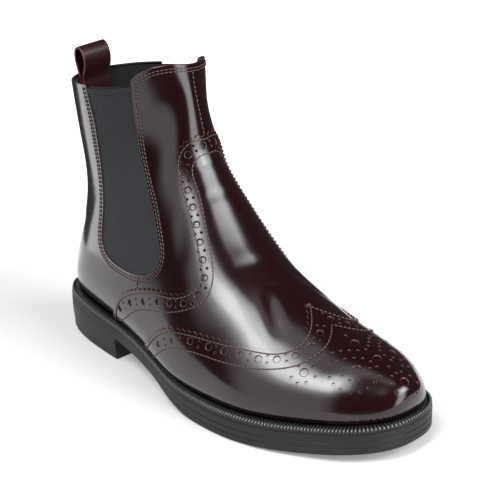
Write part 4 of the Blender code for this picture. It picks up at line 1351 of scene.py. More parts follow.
@dataclass
class Upper:
    """The leather upper: quarters with collar, vamp, winged cap, their holes and stitches."""

    last: Last
    vamp_lift: float = 1.30 * MM
    cap_lift: float = 2.00 * MM
    skive: float = 4.5 * MM
    tooth: float = 4.1 * MM
    tooth_depth: float = 1.45 * MM
    row_inset: float = 2.1 * MM
    # The last number of each punch is the painted shade on its hole's floor
    large: Punch = field(default_factory=lambda: Punch(1.85 * MM, 1.00 * MM, 22, 1.18, 0.05))
    small: Punch = field(default_factory=lambda: Punch(0.66 * MM, 1.10 * MM, 10, 1.30, 1.0))
    toe_large: Punch = field(default_factory=lambda: Punch(2.20 * MM, 1.10 * MM, 24, 1.16, 0.05))
    toe_small: Punch = field(default_factory=lambda: Punch(0.76 * MM, 1.20 * MM, 12, 1.32, 1.0))
    large_pitch: float = 10.2 * MM
    near_end: float = 66.0 * MM
    near_stretch: float = 0.36

    def lift_at(self, height: float) -> Callable[[Array], Array]:
        """Return a lift that thins to the quarters' face at the welt."""
        def lift(spots: Array) -> Array:
            share = smoothstep(-0.5 * MM, self.skive, self.last.height_over_seam(spots))
            return height * (0.12 + 0.88 * share)
        return lift

    def quarter_lift(self, spots: Array) -> Array:
        """Return the lift of the quarters' face, which is none."""
        return np.zeros(spots.shape[:-1])

    def whole(self, table: Sequence[tuple[float, float]]) -> Trace:
        """Return a line from the outer welt over the crest to the inner welt."""
        half = Trace(self.last, np.array(table), smooth=True)
        return half.followed_by(half.mirrored())

    def to_welt(self, edge: Trace, drop: float) -> Array:
        """Return an edge's spots down to the welt, without what lies under it."""
        over = self.last.height_over_seam(edge.spots) > -drop
        kept = np.nonzero(over)[0]
        return edge.spots[kept[0]:kept[-1] + 1]

    def toothed(self, edge: Trace, outward: float) -> Trace:
        """Return an edge with pinked teeth along it."""
        count = max(1, round(edge.length / self.tooth))
        phase = np.abs(np.mod(edge.run / edge.length * count, 1.0) * 2 - 1)
        return edge.beside(outward * self.tooth_depth * (0.85 * phase + 0.15 * phase**3 - 0.5))

    def front_outline(self, edge: Array, drop: float) -> Array:
        """Return the outline of a piece that covers the toe up to an edge.

        Args:
            edge: the edge's spots from the outer welt over the crest to the inner welt.
            drop: how far under the welt's top the piece reaches.

        Returns:
            Spots round the piece.
        """
        outer = self.last.foot_line(True, drop)
        inner = self.last.foot_line(False, drop)
        outer = outer[outer[:, 0] < edge[0, 0]]
        inner = inner[inner[:, 0] < edge[-1, 0]]
        below = np.linspace(outer[-1, 0], 0.0, 24)
        cut_outer = np.stack([below, np.zeros(len(below))], 1)
        cut_inner = np.stack([below[::-1], np.ones(len(below))], 1)
        return np.concatenate([edge[::-1], outer, cut_outer[1:], cut_inner[1:], inner[::-1][1:]])

    def band_holes(self, table: Sequence[tuple[float, float]], spread: float) -> list[Hole]:
        """Return the large holes along a row, and the pairs of small ones between them."""
        line = self.whole(table)
        half = 0.5 * line.length
        steps = [0.0]
        while steps[-1] < half:
            near_welt = float(smoothstep(self.near_end, self.near_end - 18.0 * MM, np.array(half - steps[-1])))
            steps.append(steps[-1] + self.large_pitch * (1 + self.near_stretch * near_welt))
        ahead = np.array(steps[:-1])
        places = np.concatenate([half - ahead[:0:-1], half + ahead])
        holes = [Hole(tuple(spot), self.large) for spot in line.at(places)]
        between = 0.5 * (places[1:] + places[:-1])
        centres = line.at(between)
        sides = np.stack([np.interp(between, line.run, line.sides()[:, i]) for i in range(3)], 1)
        for sign in (-1.0, 1.0):
            for spot in self.last.moved(centres, sides * sign * spread):
                holes.append(Hole(tuple(spot), self.small))
        return [hole for hole in holes if self.clear_of_welt(hole)]

    def clear_of_welt(self, hole: Hole) -> bool:
        """Return whether a hole lies well above the welt."""
        return float(self.last.height_over_seam(np.array([hole.spot]))[0]) > 3.2 * MM

    def toe_holes(self) -> list[Hole]:
        """Return the holes of the toe's pattern."""
        holes = [Hole(spot, self.toe_large) for spot in TOE_LARGE_MIDDLE]
        holes += [Hole(spot, self.toe_small) for spot in TOE_SMALL_MIDDLE]
        for spots, punch in ((TOE_LARGE_SIDE, self.toe_large), (TOE_SMALL_SIDE, self.toe_small)):
            for along, around in spots:
                holes.append(Hole((along, around), punch))
                holes.append(Hole((along, 1.0 - around), punch))
        return holes

    def build_cap(self) -> None:
        """Make the winged toe cap with its teeth, holes and stitches."""
        self._front_piece("wing_cap", WING_EDGE, WING_ROW, WING_HOLES, self.cap_lift, self.toe_holes(), 1.9 * MM)

    def build_vamp(self) -> None:
        """Make the vamp, which runs back to the ankle."""
        self._front_piece("vamp_overlay", VAMP_EDGE, VAMP_ROW, VAMP_HOLES, self.vamp_lift, [], 1.7 * MM)

    def _front_piece(self, name: str, edge_table: Sequence, row_table: Sequence, hole_table: Sequence,
                     height: float, extra: list[Hole], spread: float) -> None:
        """Make one front piece: face, teeth, holes and its stitches."""
        lift = self.lift_at(height)
        edge = Trace(self.last, self.to_welt(self.whole(edge_table), 0.2 * MM))
        teeth = self.toothed(edge, 1.0)
        stock = Stock()
        holes = self.band_holes(hole_table, spread) + extra
        outline = self.front_outline(teeth.spots, 0.8 * MM)
        LeatherSheet(self.last, outline, lift, holes).cut(stock)
        Edge(self.last, teeth, lift, 1.0).sweep(stock, CUT_EDGE)
        stock.build(name, Finish.LEATHER, (name,))
        seams = Stock()
        outer_row = Trace(self.last, self.to_welt(edge.beside(-self.row_inset), -1.0 * MM))
        inner_row = Trace(self.last, self.to_welt(self.whole(row_table), -1.0 * MM))
        for row in (outer_row, inner_row):
            StitchRow(self.last, row, lift).sew(seams)
        seams.build(name + "_stitches", Finish.THREAD)

    def gusset_line(self, outer: bool) -> Trace:
        """Return the edge of the elastic's opening, from its back top round the bottom to its front top."""
        drawn = self.last.side_points(np.array(GUSSET))
        knots = run_of(drawn)
        fine = natural_spline(knots, drawn, np.linspace(0.0, knots[-1], 260))
        collar = self.last.side_points(np.array(COLLAR))
        order = np.argsort(collar[:, 0])
        top = np.interp(fine[:, 0], collar[order, 0], collar[order, 1])
        low = np.nonzero(fine[:, 1] < top)[0]
        fine = fine[low[0]:low[-1] + 1]
        spots = self.last.project(fine, outer)
        return Trace(self.last, spots)

    def build_quarters(self) -> tuple[Trace, Trace]:
        """Make the quarters with their collar.

        Returns:
            The edges of the outer and of the inner opening.
        """
        last = self.last
        outer_gap = self.gusset_line(True)
        inner_gap = self.gusset_line(False)
        back_turn, front_turn = outer_gap.spots[0, 1], outer_gap.spots[-1, 1]
        inner_back, inner_front = inner_gap.spots[0, 1], inner_gap.spots[-1, 1]
        back_outer = Trace(last, last.collar_line(np.linspace(0.0, back_turn, 60)))
        front = Trace(last, last.collar_line(np.linspace(front_turn, inner_front, 160)))
        back_inner = Trace(last, last.collar_line(np.linspace(inner_back, 1.0, 60)))
        under = Trace(last, self.to_welt(self.whole(VAMP_EDGE), 0.8 * MM)).beside(-7.0 * MM)
        hidden = self.to_welt(under, 0.8 * MM)
        outer_foot = last.foot_line(True, 0.8 * MM)
        inner_foot = last.foot_line(False, 0.8 * MM)
        outer_foot = outer_foot[outer_foot[:, 0] > hidden[0, 0]]
        inner_foot = inner_foot[inner_foot[:, 0] > hidden[-1, 0]]
        rise = np.linspace(0.0, 1.0, 50)[:, None]
        back_up = np.array([[outer_foot[0, 0], 0.0]]) * (1 - rise) + back_outer.spots[:1] * rise
        back_down = back_up[::-1].copy()
        back_down[:, 1] = 1.0
        outline = np.concatenate([
            back_up, back_outer.spots[1:], outer_gap.spots[1:], front.spots[1:], inner_gap.spots[::-1][1:],
            back_inner.spots[1:], back_down[1:], inner_foot[1:], hidden[::-1], outer_foot[::-1][:-1],
        ])
        stock = Stock()
        LeatherSheet(last, outline, self.quarter_lift).cut(stock)
        for gap, outward in ((outer_gap, 1.0), (inner_gap, -1.0)):
            Edge(last, gap, self.quarter_lift, outward).sweep(stock, SOFT_EDGE)
        wall = last.sizes.wall
        for collar in (back_outer, front, back_inner):
            Edge(last, collar, self.quarter_lift, 1.0).sweep(stock, self.collar_profile(wall))
        stock.build("quarters", Finish.LEATHER, ("upper",))
        self._quarter_stitches(outer_gap, inner_gap, back_outer, front, back_inner)
        return outer_gap, inner_gap

    @staticmethod
    def collar_profile(wall: float) -> list[tuple[float, float, float, float, float]]:
        """Return the rolled rim's profile, from the face over the top to the lining, with a painted highlight on
        the roll's crest and painted shade on its inner half.
        """
        steps = []
        for k in range(9):
            turn = math.pi * k / 8
            out = 0.35 * wall * math.sin(turn)
            down = 0.5 * wall * (1 - math.cos(turn))
            # The raw colour on the roll's crest is a painted highlight; the shade on the inner half is painted
            # shade
            raw = 0.25 * math.sin(turn)
            steps.append((out, down, math.degrees(turn), raw, 0.6 * max(0.0, -math.cos(turn))))
        return steps

    def _quarter_stitches(self, outer_gap: Trace, inner_gap: Trace, back_outer: Trace, front: Trace,
                          back_inner: Trace) -> None:
        """Sew the double rows along the openings and the collar, and the seams at front, side and back."""
        last = self.last
        seams = Stock()
        corner = self._rounded(outer_gap, inner_gap, front)
        for inset in (1.7 * MM, 3.4 * MM):
            row = Trace(last, corner.beside(-inset).spots)
            StitchRow(last, row, self.quarter_lift, 2.4 * MM, 0.62 * MM).sew(seams)
        back = Trace(last, np.array([[0.845, 0.0], [0.60, 0.0], [0.575, 0.0]]))
        for side in (1.0, -1.0):
            row = back.beside(side * 1.6 * MM)
            StitchRow(last, row, self.quarter_lift, 2.6 * MM, 0.62 * MM).sew(seams)
        middle = Trace(last, np.array([[0.742, 0.500], [0.700, 0.500], [0.580, 0.500]]))
        StitchRow(last, middle.beside(1.0 * MM), self.quarter_lift, 2.6 * MM, 0.66 * MM).sew(seams)
        for outer in (True, False):
            side_seam = np.array([[0.503, 0.245], [0.492, 0.215]])
            if not outer:
                side_seam[:, 1] = 1.0 - side_seam[:, 1]
            StitchRow(last, Trace(last, side_seam), self.quarter_lift, 2.2 * MM, 0.60 * MM).sew(seams)
        seams.build("quarter_stitches", Finish.THREAD)

    def _rounded(self, outer_gap: Trace, inner_gap: Trace, front: Trace) -> Trace:
        """Return the openings' edges and the front collar as one line, from back to back."""
        spots = np.concatenate([outer_gap.spots, front.spots[1:-1], inner_gap.spots[::-1]])
        line = Trace(self.last, spots)
        window = np.hanning(25)
        window = window / window.sum()
        padded = np.pad(line.spots, ((12, 12), (0, 0)), mode="edge")
        soft = np.stack([np.convolve(padded[:, i], window, mode="valid") for i in range(2)], 1)
        return Trace(self.last, soft)


@dataclass
class Gusset:
    """The elastic panel in one side of the shaft."""

    last: Last
    opening: Trace
    outer: bool
    recess: float = 0.75 * MM
    tuck: float = 1.6 * MM
    drop: float = 1.6 * MM
    hem: float = 3.4 * MM

    def build(self) -> None:
        """Make the panel, its hem and the hem's stitches."""
        last = self.last
        outward = 1.0 if self.outer else -1.0
        sides = self.opening.beside(-outward * self.tuck).spots
        low_turn, high_turn = sorted((float(sides[0, 1]), float(sides[-1, 1])))
        top = last.collar_line(np.linspace(low_turn, high_turn, 90), self.drop)
        if not self.outer:
            top = top[::-1]
        limit = np.interp(np.arange(len(sides)) / len(sides), (0.0, 1.0), (top[0, 0], top[-1, 0]))
        body = sides[sides[:, 0] < limit]
        outline = np.concatenate([body, top[::-1]])
        name = "gore_outer" if self.outer else "gore_inner"
        stock = Stock()

        def lift(spots: Array) -> Array:
            return np.full(spots.shape[:-1], -self.recess)

        LeatherSheet(last, outline, lift, (), 2.2 * MM).cut(stock, 0.0, True)
        stock.build(name, Finish.ELASTIC, (name,))
        self._build_hem(name, Trace(last, top), outward)

    def _build_hem(self, name: str, top: Trace, outward: float) -> None:
        """Make the folded hem along the panel's top, with its three soft ribs."""
        last = self.last
        sign = -1.0
        rows = []
        normals = []
        weave = []
        ribs = 18
        for k in range(ribs + 1):
            share = k / ribs
            line = top.beside(sign * self._down(top) * share * self.hem)
            spots = line.at(np.linspace(0.0, line.length, 120))
            swell = 0.22 * MM * abs(math.sin(3 * math.pi * share)) + 0.18 * MM
            rows.append(last.place(spots, np.full(len(spots), -self.recess + swell)))
            lean = 0.5 * math.cos(3 * math.pi * share) * math.copysign(1.0, math.sin(3 * math.pi * share + 1e-6))
            normals.append(unit(last.normal(spots) + np.array([0.0, 0.0, lean])))
        back = [rows[0] - normals[0] * 1.1 * MM]
        stock = Stock()
        stock.strip(back + rows, [normals[0] + np.array([0.0, 0.0, 1.5])] + normals)
        stock.build(name + "_hem", Finish.ELASTIC)
        seams = Stock()
        row = top.beside(sign * self._down(top) * (self.hem + 0.5 * MM))
        StitchRow(last, row, lambda spots: np.full(spots.shape[:-1], -self.recess), 2.2 * MM, 0.36 * MM).sew(seams)
        seams.build(name + "_stitches", Finish.DARK_THREAD)

    def _down(self, top: Trace) -> float:
        """Return the sign that moves the top line down the shaft."""
        return 1.0 if float(top.sides()[len(top.spots) // 2, 2]) > 0 else -1.0


@dataclass
class Interior:
    """The lining."""

    last: Last
    gap: float = 0.1 * MM

    def build(self) -> None:
        """Make the lining as a cloth skin inside the wall."""
        last = self.last
        wall = last.sizes.wall
        turns = np.linspace(0.0, 1.0, 181)
        collar = last.collar_line(turns, 0.25 * wall)
        rows = []
        normals = []
        for share in np.linspace(0.0, 1.0, 150):
            along = 0.02 + (collar[:, 0] - 0.02) * share
            spots = np.stack([along, turns], 1)
            normal = last.normal(spots)
            rows.append(last.place(spots) - normal * (wall + self.gap))
            normals.append(-normal)
        stock = Stock()
        stock.strip(rows, normals, False)
        stock.build("lining", Finish.LINING)


class Plan:
    """The sole's outlines: the leather's edge on the welt and lines offset from it."""

    # Width of the welt beside the leather, as a share of the welt extension
    SPREAD = (
        # forward, share
        (0.00, 0.55),
        (0.10, 0.70),
        (0.25, 0.95),
        (0.45, 1.00),
        (0.65, 1.15),
        (0.80, 1.10),
        (0.93, 1.00),
        (1.00, 0.90),
    )
    EXTENSION = 0.0094
    INNER_SHARE = 0.85

    def __init__(self, last: Last) -> None:
        """Work out the leather's edge as one loop from the heel's back over the outer side."""
        self.last = last
        outer = last.place(last.foot_line(True, 0.0))[:, :2]
        inner = last.place(last.foot_line(False, 0.0))[:, :2]
        loop = np.concatenate([outer, inner[::-1][1:-1]])
        closed = np.concatenate([loop, loop[:1]])
        run = run_of(closed)
        even = np.linspace(0.0, run[-1], 1401)[:-1]
        self.loop = np.stack([np.interp(even, run, closed[:, i]) for i in range(2)], 1)
        window = np.hanning(41)
        window = window / window.sum()
        for _ in range(2):
            ring = np.concatenate([self.loop[-20:], self.loop, self.loop[:20]])
            self.loop = np.stack([np.convolve(ring[:, i], window, mode="valid") for i in range(2)], 1)

    def line(self, spread: float, plain: float = 0.0) -> Array:
        """Return the loop offset by a share of the welt's width and by a plain distance."""
        loop = self.loop
        tangent = np.roll(loop, -3, axis=0) - np.roll(loop, 3, axis=0)
        normal = unit(np.stack([-tangent[:, 1], tangent[:, 0]], 1))
        if np.sum((loop - loop.mean(axis=0)) * normal) < 0:
            normal = -normal
        table = np.array(self.SPREAD)
        share = np.interp(self.last.forward_of(loop[:, 1]), table[:, 0], table[:, 1])
        ball = 0.3 * self.last.sizes.ball_width
        inner = 1.0 - (1.0 - self.INNER_SHARE) * np.clip((loop[:, 0] - loop[:, 0].mean()) / ball, 0, 1)
        return loop + normal * (spread * self.EXTENSION * share * inner + plain)[:, None]

    @staticmethod
    def even(line: Array, count: int) -> Array:
        """Return a closed line's points spread evenly."""
        closed = np.concatenate([line, line[:1]])
        run = run_of(closed)
        places = np.linspace(0.0, run[-1], count + 1)[:-1]
        return np.stack([np.interp(places, run, closed[:, i]) for i in range(2)], 1)


@dataclass
class Sole:
    """Welt, outsole and heel."""

    last: Last
    plan: Plan
    welt_thickness: float = 2.2 * MM
    gap: float = 0.3 * MM
    waist_thickness: float = 7.8 * MM
    heel_share: float = 0.262
    heel_taper: float = 1.2 * MM
    top_lift: float = 3.6 * MM
    rib_pitch: float = 1.95 * MM
    rib_height: float = 0.80 * MM

    def underside(self, y: Array) -> Array:
        """Return the height of the outsole's lower face."""
        forward = self.last.forward_of(y)
        table = np.array(SOLE_LINE)
        spring = natural_spline(table[:, 0], table[:, 3:4], np.clip(forward, 0.0, 1.06))[..., 0]
        ground = self.last.sizes.toe_spring * np.clip((spring - 0.05) / 0.95, 0.0, None)
        ease = smoothstep(0.0, 1.0, (0.60 - forward) / 0.16)
        spare = np.maximum(self.last.sole_line(forward) - ground - self.waist_thickness, 0.0)
        return ground + ease * spare

    def outsole_top(self, y: Array) -> Array:
        """Return the height of the outsole's upper face."""
        return self.last.seam_height(y) - self.welt_thickness - self.gap

    def build_welt(self) -> None:
        """Make the welt with ribs across it and teeth along its outer edge, painted shade between the ribs, in its
        groove, at the leather and under it, and a painted highlight on the rib crests, strongest on the outer
        teeth.
        """
        inner = self.plan.line(0.0, 0.2 * MM)
        outer = self.plan.line(1.0, -0.2 * MM)
        length = float(run_of(outer)[-1])
        ribs = round(length / self.rib_pitch)
        steps = 6
        count = ribs * steps
        share = np.arange(count) / count
        index = share * len(inner)
        low = index.astype(int) % len(inner)
        high = (low + 1) % len(inner)
        part = (index - index.astype(int))[:, None]
        inside_line = inner[low] * (1 - part) + inner[high] * part
        outside_line = outer[low] * (1 - part) + outer[high] * part
        wave = 0.5 - 0.5 * np.cos(2 * math.pi * np.arange(count) / steps)
        wave = wave**0.7
        plain = np.ones(count)
        profile = (
            # across, rise of the plain welt, rise with the ribs, painted highlight on the crests, painted shade
            (0.00, -0.10 * MM, 0.00, 0.0, 0.8),
            (0.08, 0.00, 0.30, 0.0, 0.5),
            (0.16, 0.00, 0.90, 0.02, 0.0),
            (0.34, 0.02 * MM, 1.00, 0.05, 0.0),
            (0.50, 0.02 * MM, 1.00, 0.08, 0.0),
            (0.62, 0.00, 0.85, 0.08, 0.0),
            (0.67, -0.40 * MM, 0.10, 0.0, 1.0),
            (0.73, -0.40 * MM, 0.20, 0.0, 0.9),
            (0.80, 0.05 * MM, 1.10, 0.7, 0.0),
            (0.92, 0.05 * MM, 1.15, 1.0, 0.0),
            (0.98, -0.12 * MM, 0.70, 0.6, 0.0),
            (1.00, -0.45 * MM, 0.30, 0.1, 0.1),
            (1.00, -0.9 * MM, 0.0, 0.0, 0.2),
            (1.00, -2.2 * MM, 0.0, 0.0, 0.3),
            (0.90, -2.2 * MM, 0.0, 0.0, 1.0),
        )
        rows = []
        shades = []
        crest_highlights = []
        for across, rise, ribbed, tip, shade in profile:
            flat = inside_line * (1 - across) + outside_line * across
            top = self.last.seam_height(flat[:, 1])
            height = top + rise * plain + ribbed * self.rib_height * wave * plain - 0.5 * self.rib_height
            rows.append(np.concatenate([flat, height[:, None]], 1))
            dark = shade * plain
            # Painted shade: the row's own value, plus full shade between the ribs on the ribbed rows
            shades.append(np.clip(dark + plain * (1 - wave) * (ribbed > 0.5), 0, 1))
            # Painted highlight on the rib crests, carried in the raw attribute
            crest_highlights.append(tip * plain * wave**3)
        grid = np.array(rows)
        along = np.roll(grid, -1, axis=1) - np.roll(grid, 1, axis=1)
        across_way = np.gradient(grid, axis=0)
        normals = unit(np.cross(along, across_way))
        if normals[4, :, 2].mean() < 0:
            normals = -normals
        stock = Stock()
        first = len(grid)
        faces = []
        for r in range(first - 1):
            for i in range(count):
                j = (i + 1) % count
                faces.append((r * count + i, r * count + j, (r + 1) * count + j, (r + 1) * count + i))
        stock.add(grid.reshape(-1, 3), normals.reshape(-1, 3), faces, np.concatenate(crest_highlights), np.concatenate(shades))
        stock.build("welt", Finish.RUBBER, ("welt",))

    def _wall(self, stock: Stock, levels: Sequence[tuple[Array, Callable[[Array], Array], float, float]]) -> None:
        """Add a side wall from stacked outlines.

        Args:
            stock: takes the faces.
            levels: (outline, height of y, lean of the normal upwards in degrees, painted shade) from top to
                bottom.
        """
        rows = []
        normals = []
        for line, height, lean, _ in levels:
            rows.append(np.concatenate([line, height(line[:, 1])[:, None]], 1))
            tangent = np.roll(line, -2, axis=0) - np.roll(line, 2, axis=0)
            out = unit(np.stack([-tangent[:, 1], tangent[:, 0], np.zeros(len(line))], 1))
            if np.sum((line - line.mean(axis=0)) * out[:, :2]) < 0:
                out = -out
            turn = math.radians(lean)
            normals.append(out * math.cos(turn) + np.array([0.0, 0.0, 1.0]) * math.sin(turn))
        stock.strip(rows, normals, True, (), [level[3] for level in levels])

    def build_outsole(self) -> None:
        """Make the outsole: side with two moulded grooves, rounded lower edge and a ribbed tread, with painted
        shade under the welt and in the grooves.
        """
        plan = self.plan
        edge = plan.line(1.0)[::2]
        stock = Stock()

        def between(share: float, shift: float) -> Callable[[Array], Array]:
            return lambda y: self.underside(y) + share * (self.outsole_top(y) - self.underside(y)) + shift

        # The last number of each level is painted shade: dark under the welt's overhang and inside the grooves
        levels = [(plan.line(1.0, -1.2 * MM)[::2], between(1.0, 0.0), 90.0, 0.6)]
        levels.append((plan.line(1.0, -0.3 * MM)[::2], between(1.0, 0.0), 70.0, 0.2))
        levels.append((edge, between(1.0, -0.3 * MM), 10.0, 0.0))
        for share in (0.62, 0.32):
            levels.append((edge, between(share, 0.45 * MM), 0.0, 0.0))
            levels.append((plan.line(1.0, -0.12 * MM)[::2], between(share, 0.30 * MM), -40.0, 0.0))
            levels.append((plan.line(1.0, -0.50 * MM)[::2], between(share, 0.05 * MM), -10.0, 0.4))
            levels.append((plan.line(1.0, -0.50 * MM)[::2], between(share, -0.10 * MM), 30.0, 0.0))
            levels.append((plan.line(1.0, -0.10 * MM)[::2], between(share, -0.30 * MM), 60.0, 0.0))
            levels.append((plan.line(1.0, 0.0)[::2], between(share, -0.50 * MM), 5.0, 0.0))
        for k in range(5):
            turn = 0.5 * math.pi * k / 4
            inset = 0.7 * MM * (1 - math.cos(turn))
            rise = 0.7 * MM * (1 - math.sin(turn))
            levels.append((plan.line(1.0, -inset)[::2], between(0.0, rise), -math.degrees(turn), 0.0))
        self._wall(stock, levels)
        self._tread(stock, plan.line(1.0, -0.7 * MM)[::2], 1.0)
        stock.build("outsole", Finish.RUBBER, ("outsole",))

    def _sides(self, line: Array, stations: Array) -> tuple[Array, Array]:
        """Return the x of both sides of a closed line at stations along y."""
        back = int(np.argmax(line[:, 1]))
        turned = np.roll(line, -back, axis=0)
        toe = int(np.argmin(turned[:, 1]))
        sides = []
        for side in (turned[:toe + 1], np.concatenate([turned[toe:], turned[:1]])):
            order = np.argsort(side[:, 1])
            sides.append(np.interp(stations, side[order, 1], side[order, 0]))
        return sides[0], sides[1]

    def _tread(self, stock: Stock, line: Array, depth: float) -> None:
        """Add the lower face, with shallow ribs across the forepart."""
        high, low = float(line[:, 1].max()), float(line[:, 1].min())
        turn = np.linspace(0.0, math.pi, 420)
        stations = 0.5 * (high + low) + 0.5 * (high - low) * np.cos(turn)
        first, second = self._sides(line, stations)
        columns = 25
        forward = self.last.forward_of(stations)
        field_share = smoothstep(0.46, 0.50, forward) * (1 - smoothstep(0.90, 0.94, forward))
        points = []
        for k in range(columns):
            share = k / (columns - 1)
            x = first * (1 - share) + second * share
            inside_share = float(smoothstep(0.06, 0.12, min(share, 1 - share)))
            slant = stations + 4 * MM * abs(share - 0.5)
            groove = smoothstep(0.55, 0.85, 0.5 + 0.5 * np.cos(2 * math.pi * slant / (3.2 * MM)))
            height = self.underside(stations) + 0.55 * MM * depth * groove * field_share * inside_share
            points.append(np.stack([x, stations, height], 1))
        grid = np.array(points)
        down = np.tile([0.0, 0.0, -1.0], (grid.shape[0] * grid.shape[1], 1))
        slope = np.gradient(grid[..., 2], axis=1) / np.minimum(np.gradient(stations)[None], -1e-5)
        down[:, 1] = np.clip(slope, -1.5, 1.5).ravel()
        size = grid.shape[1]
        faces = []
        for k in range(columns - 1):
            for i in range(size - 1):
                faces.append((k * size + i, k * size + i + 1, (k + 1) * size + i + 1, (k + 1) * size + i))
        stock.add(grid.reshape(-1, 3), unit(down), faces)

    def build_heel(self) -> None:
        """Make the heel block with its top lift and straight front, with painted shade under the outsole, in the
        top lift's groove and on the front.
        """
        breast = (self.last.sizes.origin_share - self.heel_share) * self.last.sizes.length
        stock = Stock()
        taper = self.heel_taper

        def block(line: Array) -> Array:
            """Return the outline behind the heel's front, as an open line."""
            behind = line[:, 1] > breast
            start = int(np.argmax(~behind & np.roll(behind, -1))) + 1
            turned = np.roll(line, -start, axis=0)
            kept = turned[:int(np.sum(behind))]
            ends = kept.copy()
            ends[0, 1] = breast
            ends[-1, 1] = breast
            run = run_of(ends)
            even = np.linspace(0.0, run[-1], 221)
            return np.stack([np.interp(even, run, ends[:, i]) for i in range(2)], 1)

        top = float(self.underside(np.array([breast + 8 * MM]))[0])
        levels = (
            # inset, height or drop under the outsole, lean in degrees, painted shade
            (1.2 * MM, -1.0 * MM, 60.0, 1.0),
            (0.5 * MM, 0.0, 30.0, 0.8),
            (0.1 * MM, 0.45 * MM, 0.0, 0.0),
            (0.2 * taper, 0.8 * top, 0.0, 0.0),
            (0.6 * taper, 0.5 * top, 0.0, 0.0),
            (0.9 * taper, self.top_lift + 0.5 * MM, 0.0, 0.0),
            (taper + 0.45 * MM, self.top_lift + 0.1 * MM, -20.0, 1.0),
            (taper + 0.45 * MM, self.top_lift - 0.1 * MM, 20.0, 1.0),
            (taper, self.top_lift - 0.5 * MM, 0.0, 0.0),
            (taper, 0.8 * MM, 0.0, 0.0),
            (taper + 0.25 * MM, 0.25 * MM, -40.0, 0.0),
            (taper + 0.8 * MM, 0.0, -85.0, 0.0),
        )
        rows = []
        normals = []
        shades = []
        for number, (inset, height, lean, shade) in enumerate(levels):
            line = block(self.plan.line(1.0, -inset))
            follows = number < 3
            z = self.underside(line[:, 1]) - height if follows else np.full(len(line), height)
            rows.append(np.concatenate([line, z[:, None]], 1))
            tangent = np.gradient(line, axis=0)
            out = unit(np.stack([-tangent[:, 1], tangent[:, 0], np.zeros(len(line))], 1))
            if np.sum((line - line.mean(axis=0)) * out[:, :2]) < 0:
                out = -out
            turn = math.radians(lean)
            normals.append(out * math.cos(turn) + np.array([0.0, 0.0, 1.0]) * math.sin(turn))
            shades.append(shade)
        stock.strip(rows, normals, False, (), shades)
        self._heel_front(stock, rows)
        self._heel_base(stock, rows[-1])
        stock.build("heel", Finish.RUBBER, ("heel",))

    @staticmethod
    def _heel_front(stock: Stock, rows: Sequence[Array]) -> None:
        """Add the heel's straight front between the ends of its side, darkened with painted shade."""
        points = np.concatenate([np.stack([row[0], row[-1]]) for row in rows])
        normals = np.tile([0.0, -1.0, 0.0], (len(points), 1))
        faces = [(2 * i, 2 * i + 1, 2 * i + 3, 2 * i + 2) for i in range(len(rows) - 1)]
        stock.add(points, normals, faces, 0.0, 0.35)

    @staticmethod
    def _heel_base(stock: Stock, line: Array) -> None:
        """Add the heel's lower face between both sides of its outline."""
        count = len(line)
        normals = np.tile([0.0, 0.0, -1.0], (count, 1))
        faces = []
        for i in range(count // 2):
            j = count - 1 - i
            if j - 1 > i + 1:
                faces.append((i, i + 1, j - 1, j))
            elif j - 1 == i + 1:
                faces.append((i, i + 1, j))
        stock.add(line, normals, faces)

    def build_insole(self) -> None:
        """Make the footbed inside the wall."""
        wall = self.last.sizes.wall
        line = self.plan.line(0.0, -wall - 1.4 * MM)[::4]
        high, low = float(line[:, 1].max()), float(line[:, 1].min())
        turn = np.linspace(0.0, math.pi, 120)
        stations = 0.5 * (high + low) + 0.5 * (high - low) * np.cos(turn)
        first, second = self._sides(line, stations)
        rows = []
        normals = []
        for share in np.linspace(0.0, 1.0, 13):
            x = first * (1 - share) + second * share
            dish = 0.6 * MM * (1 - (2 * share - 1)**2)
            z = self.outsole_top(stations) + self.gap + 2.5 * MM - dish
            rows.append(np.stack([x, stations, z], 1))
            normals.append(np.tile([0.0, 0.0, 1.0], (len(stations), 1)))
        stock = Stock()
        stock.strip(rows, normals)
        stock.build("footbed", Finish.FOOTBED, ("insole",))


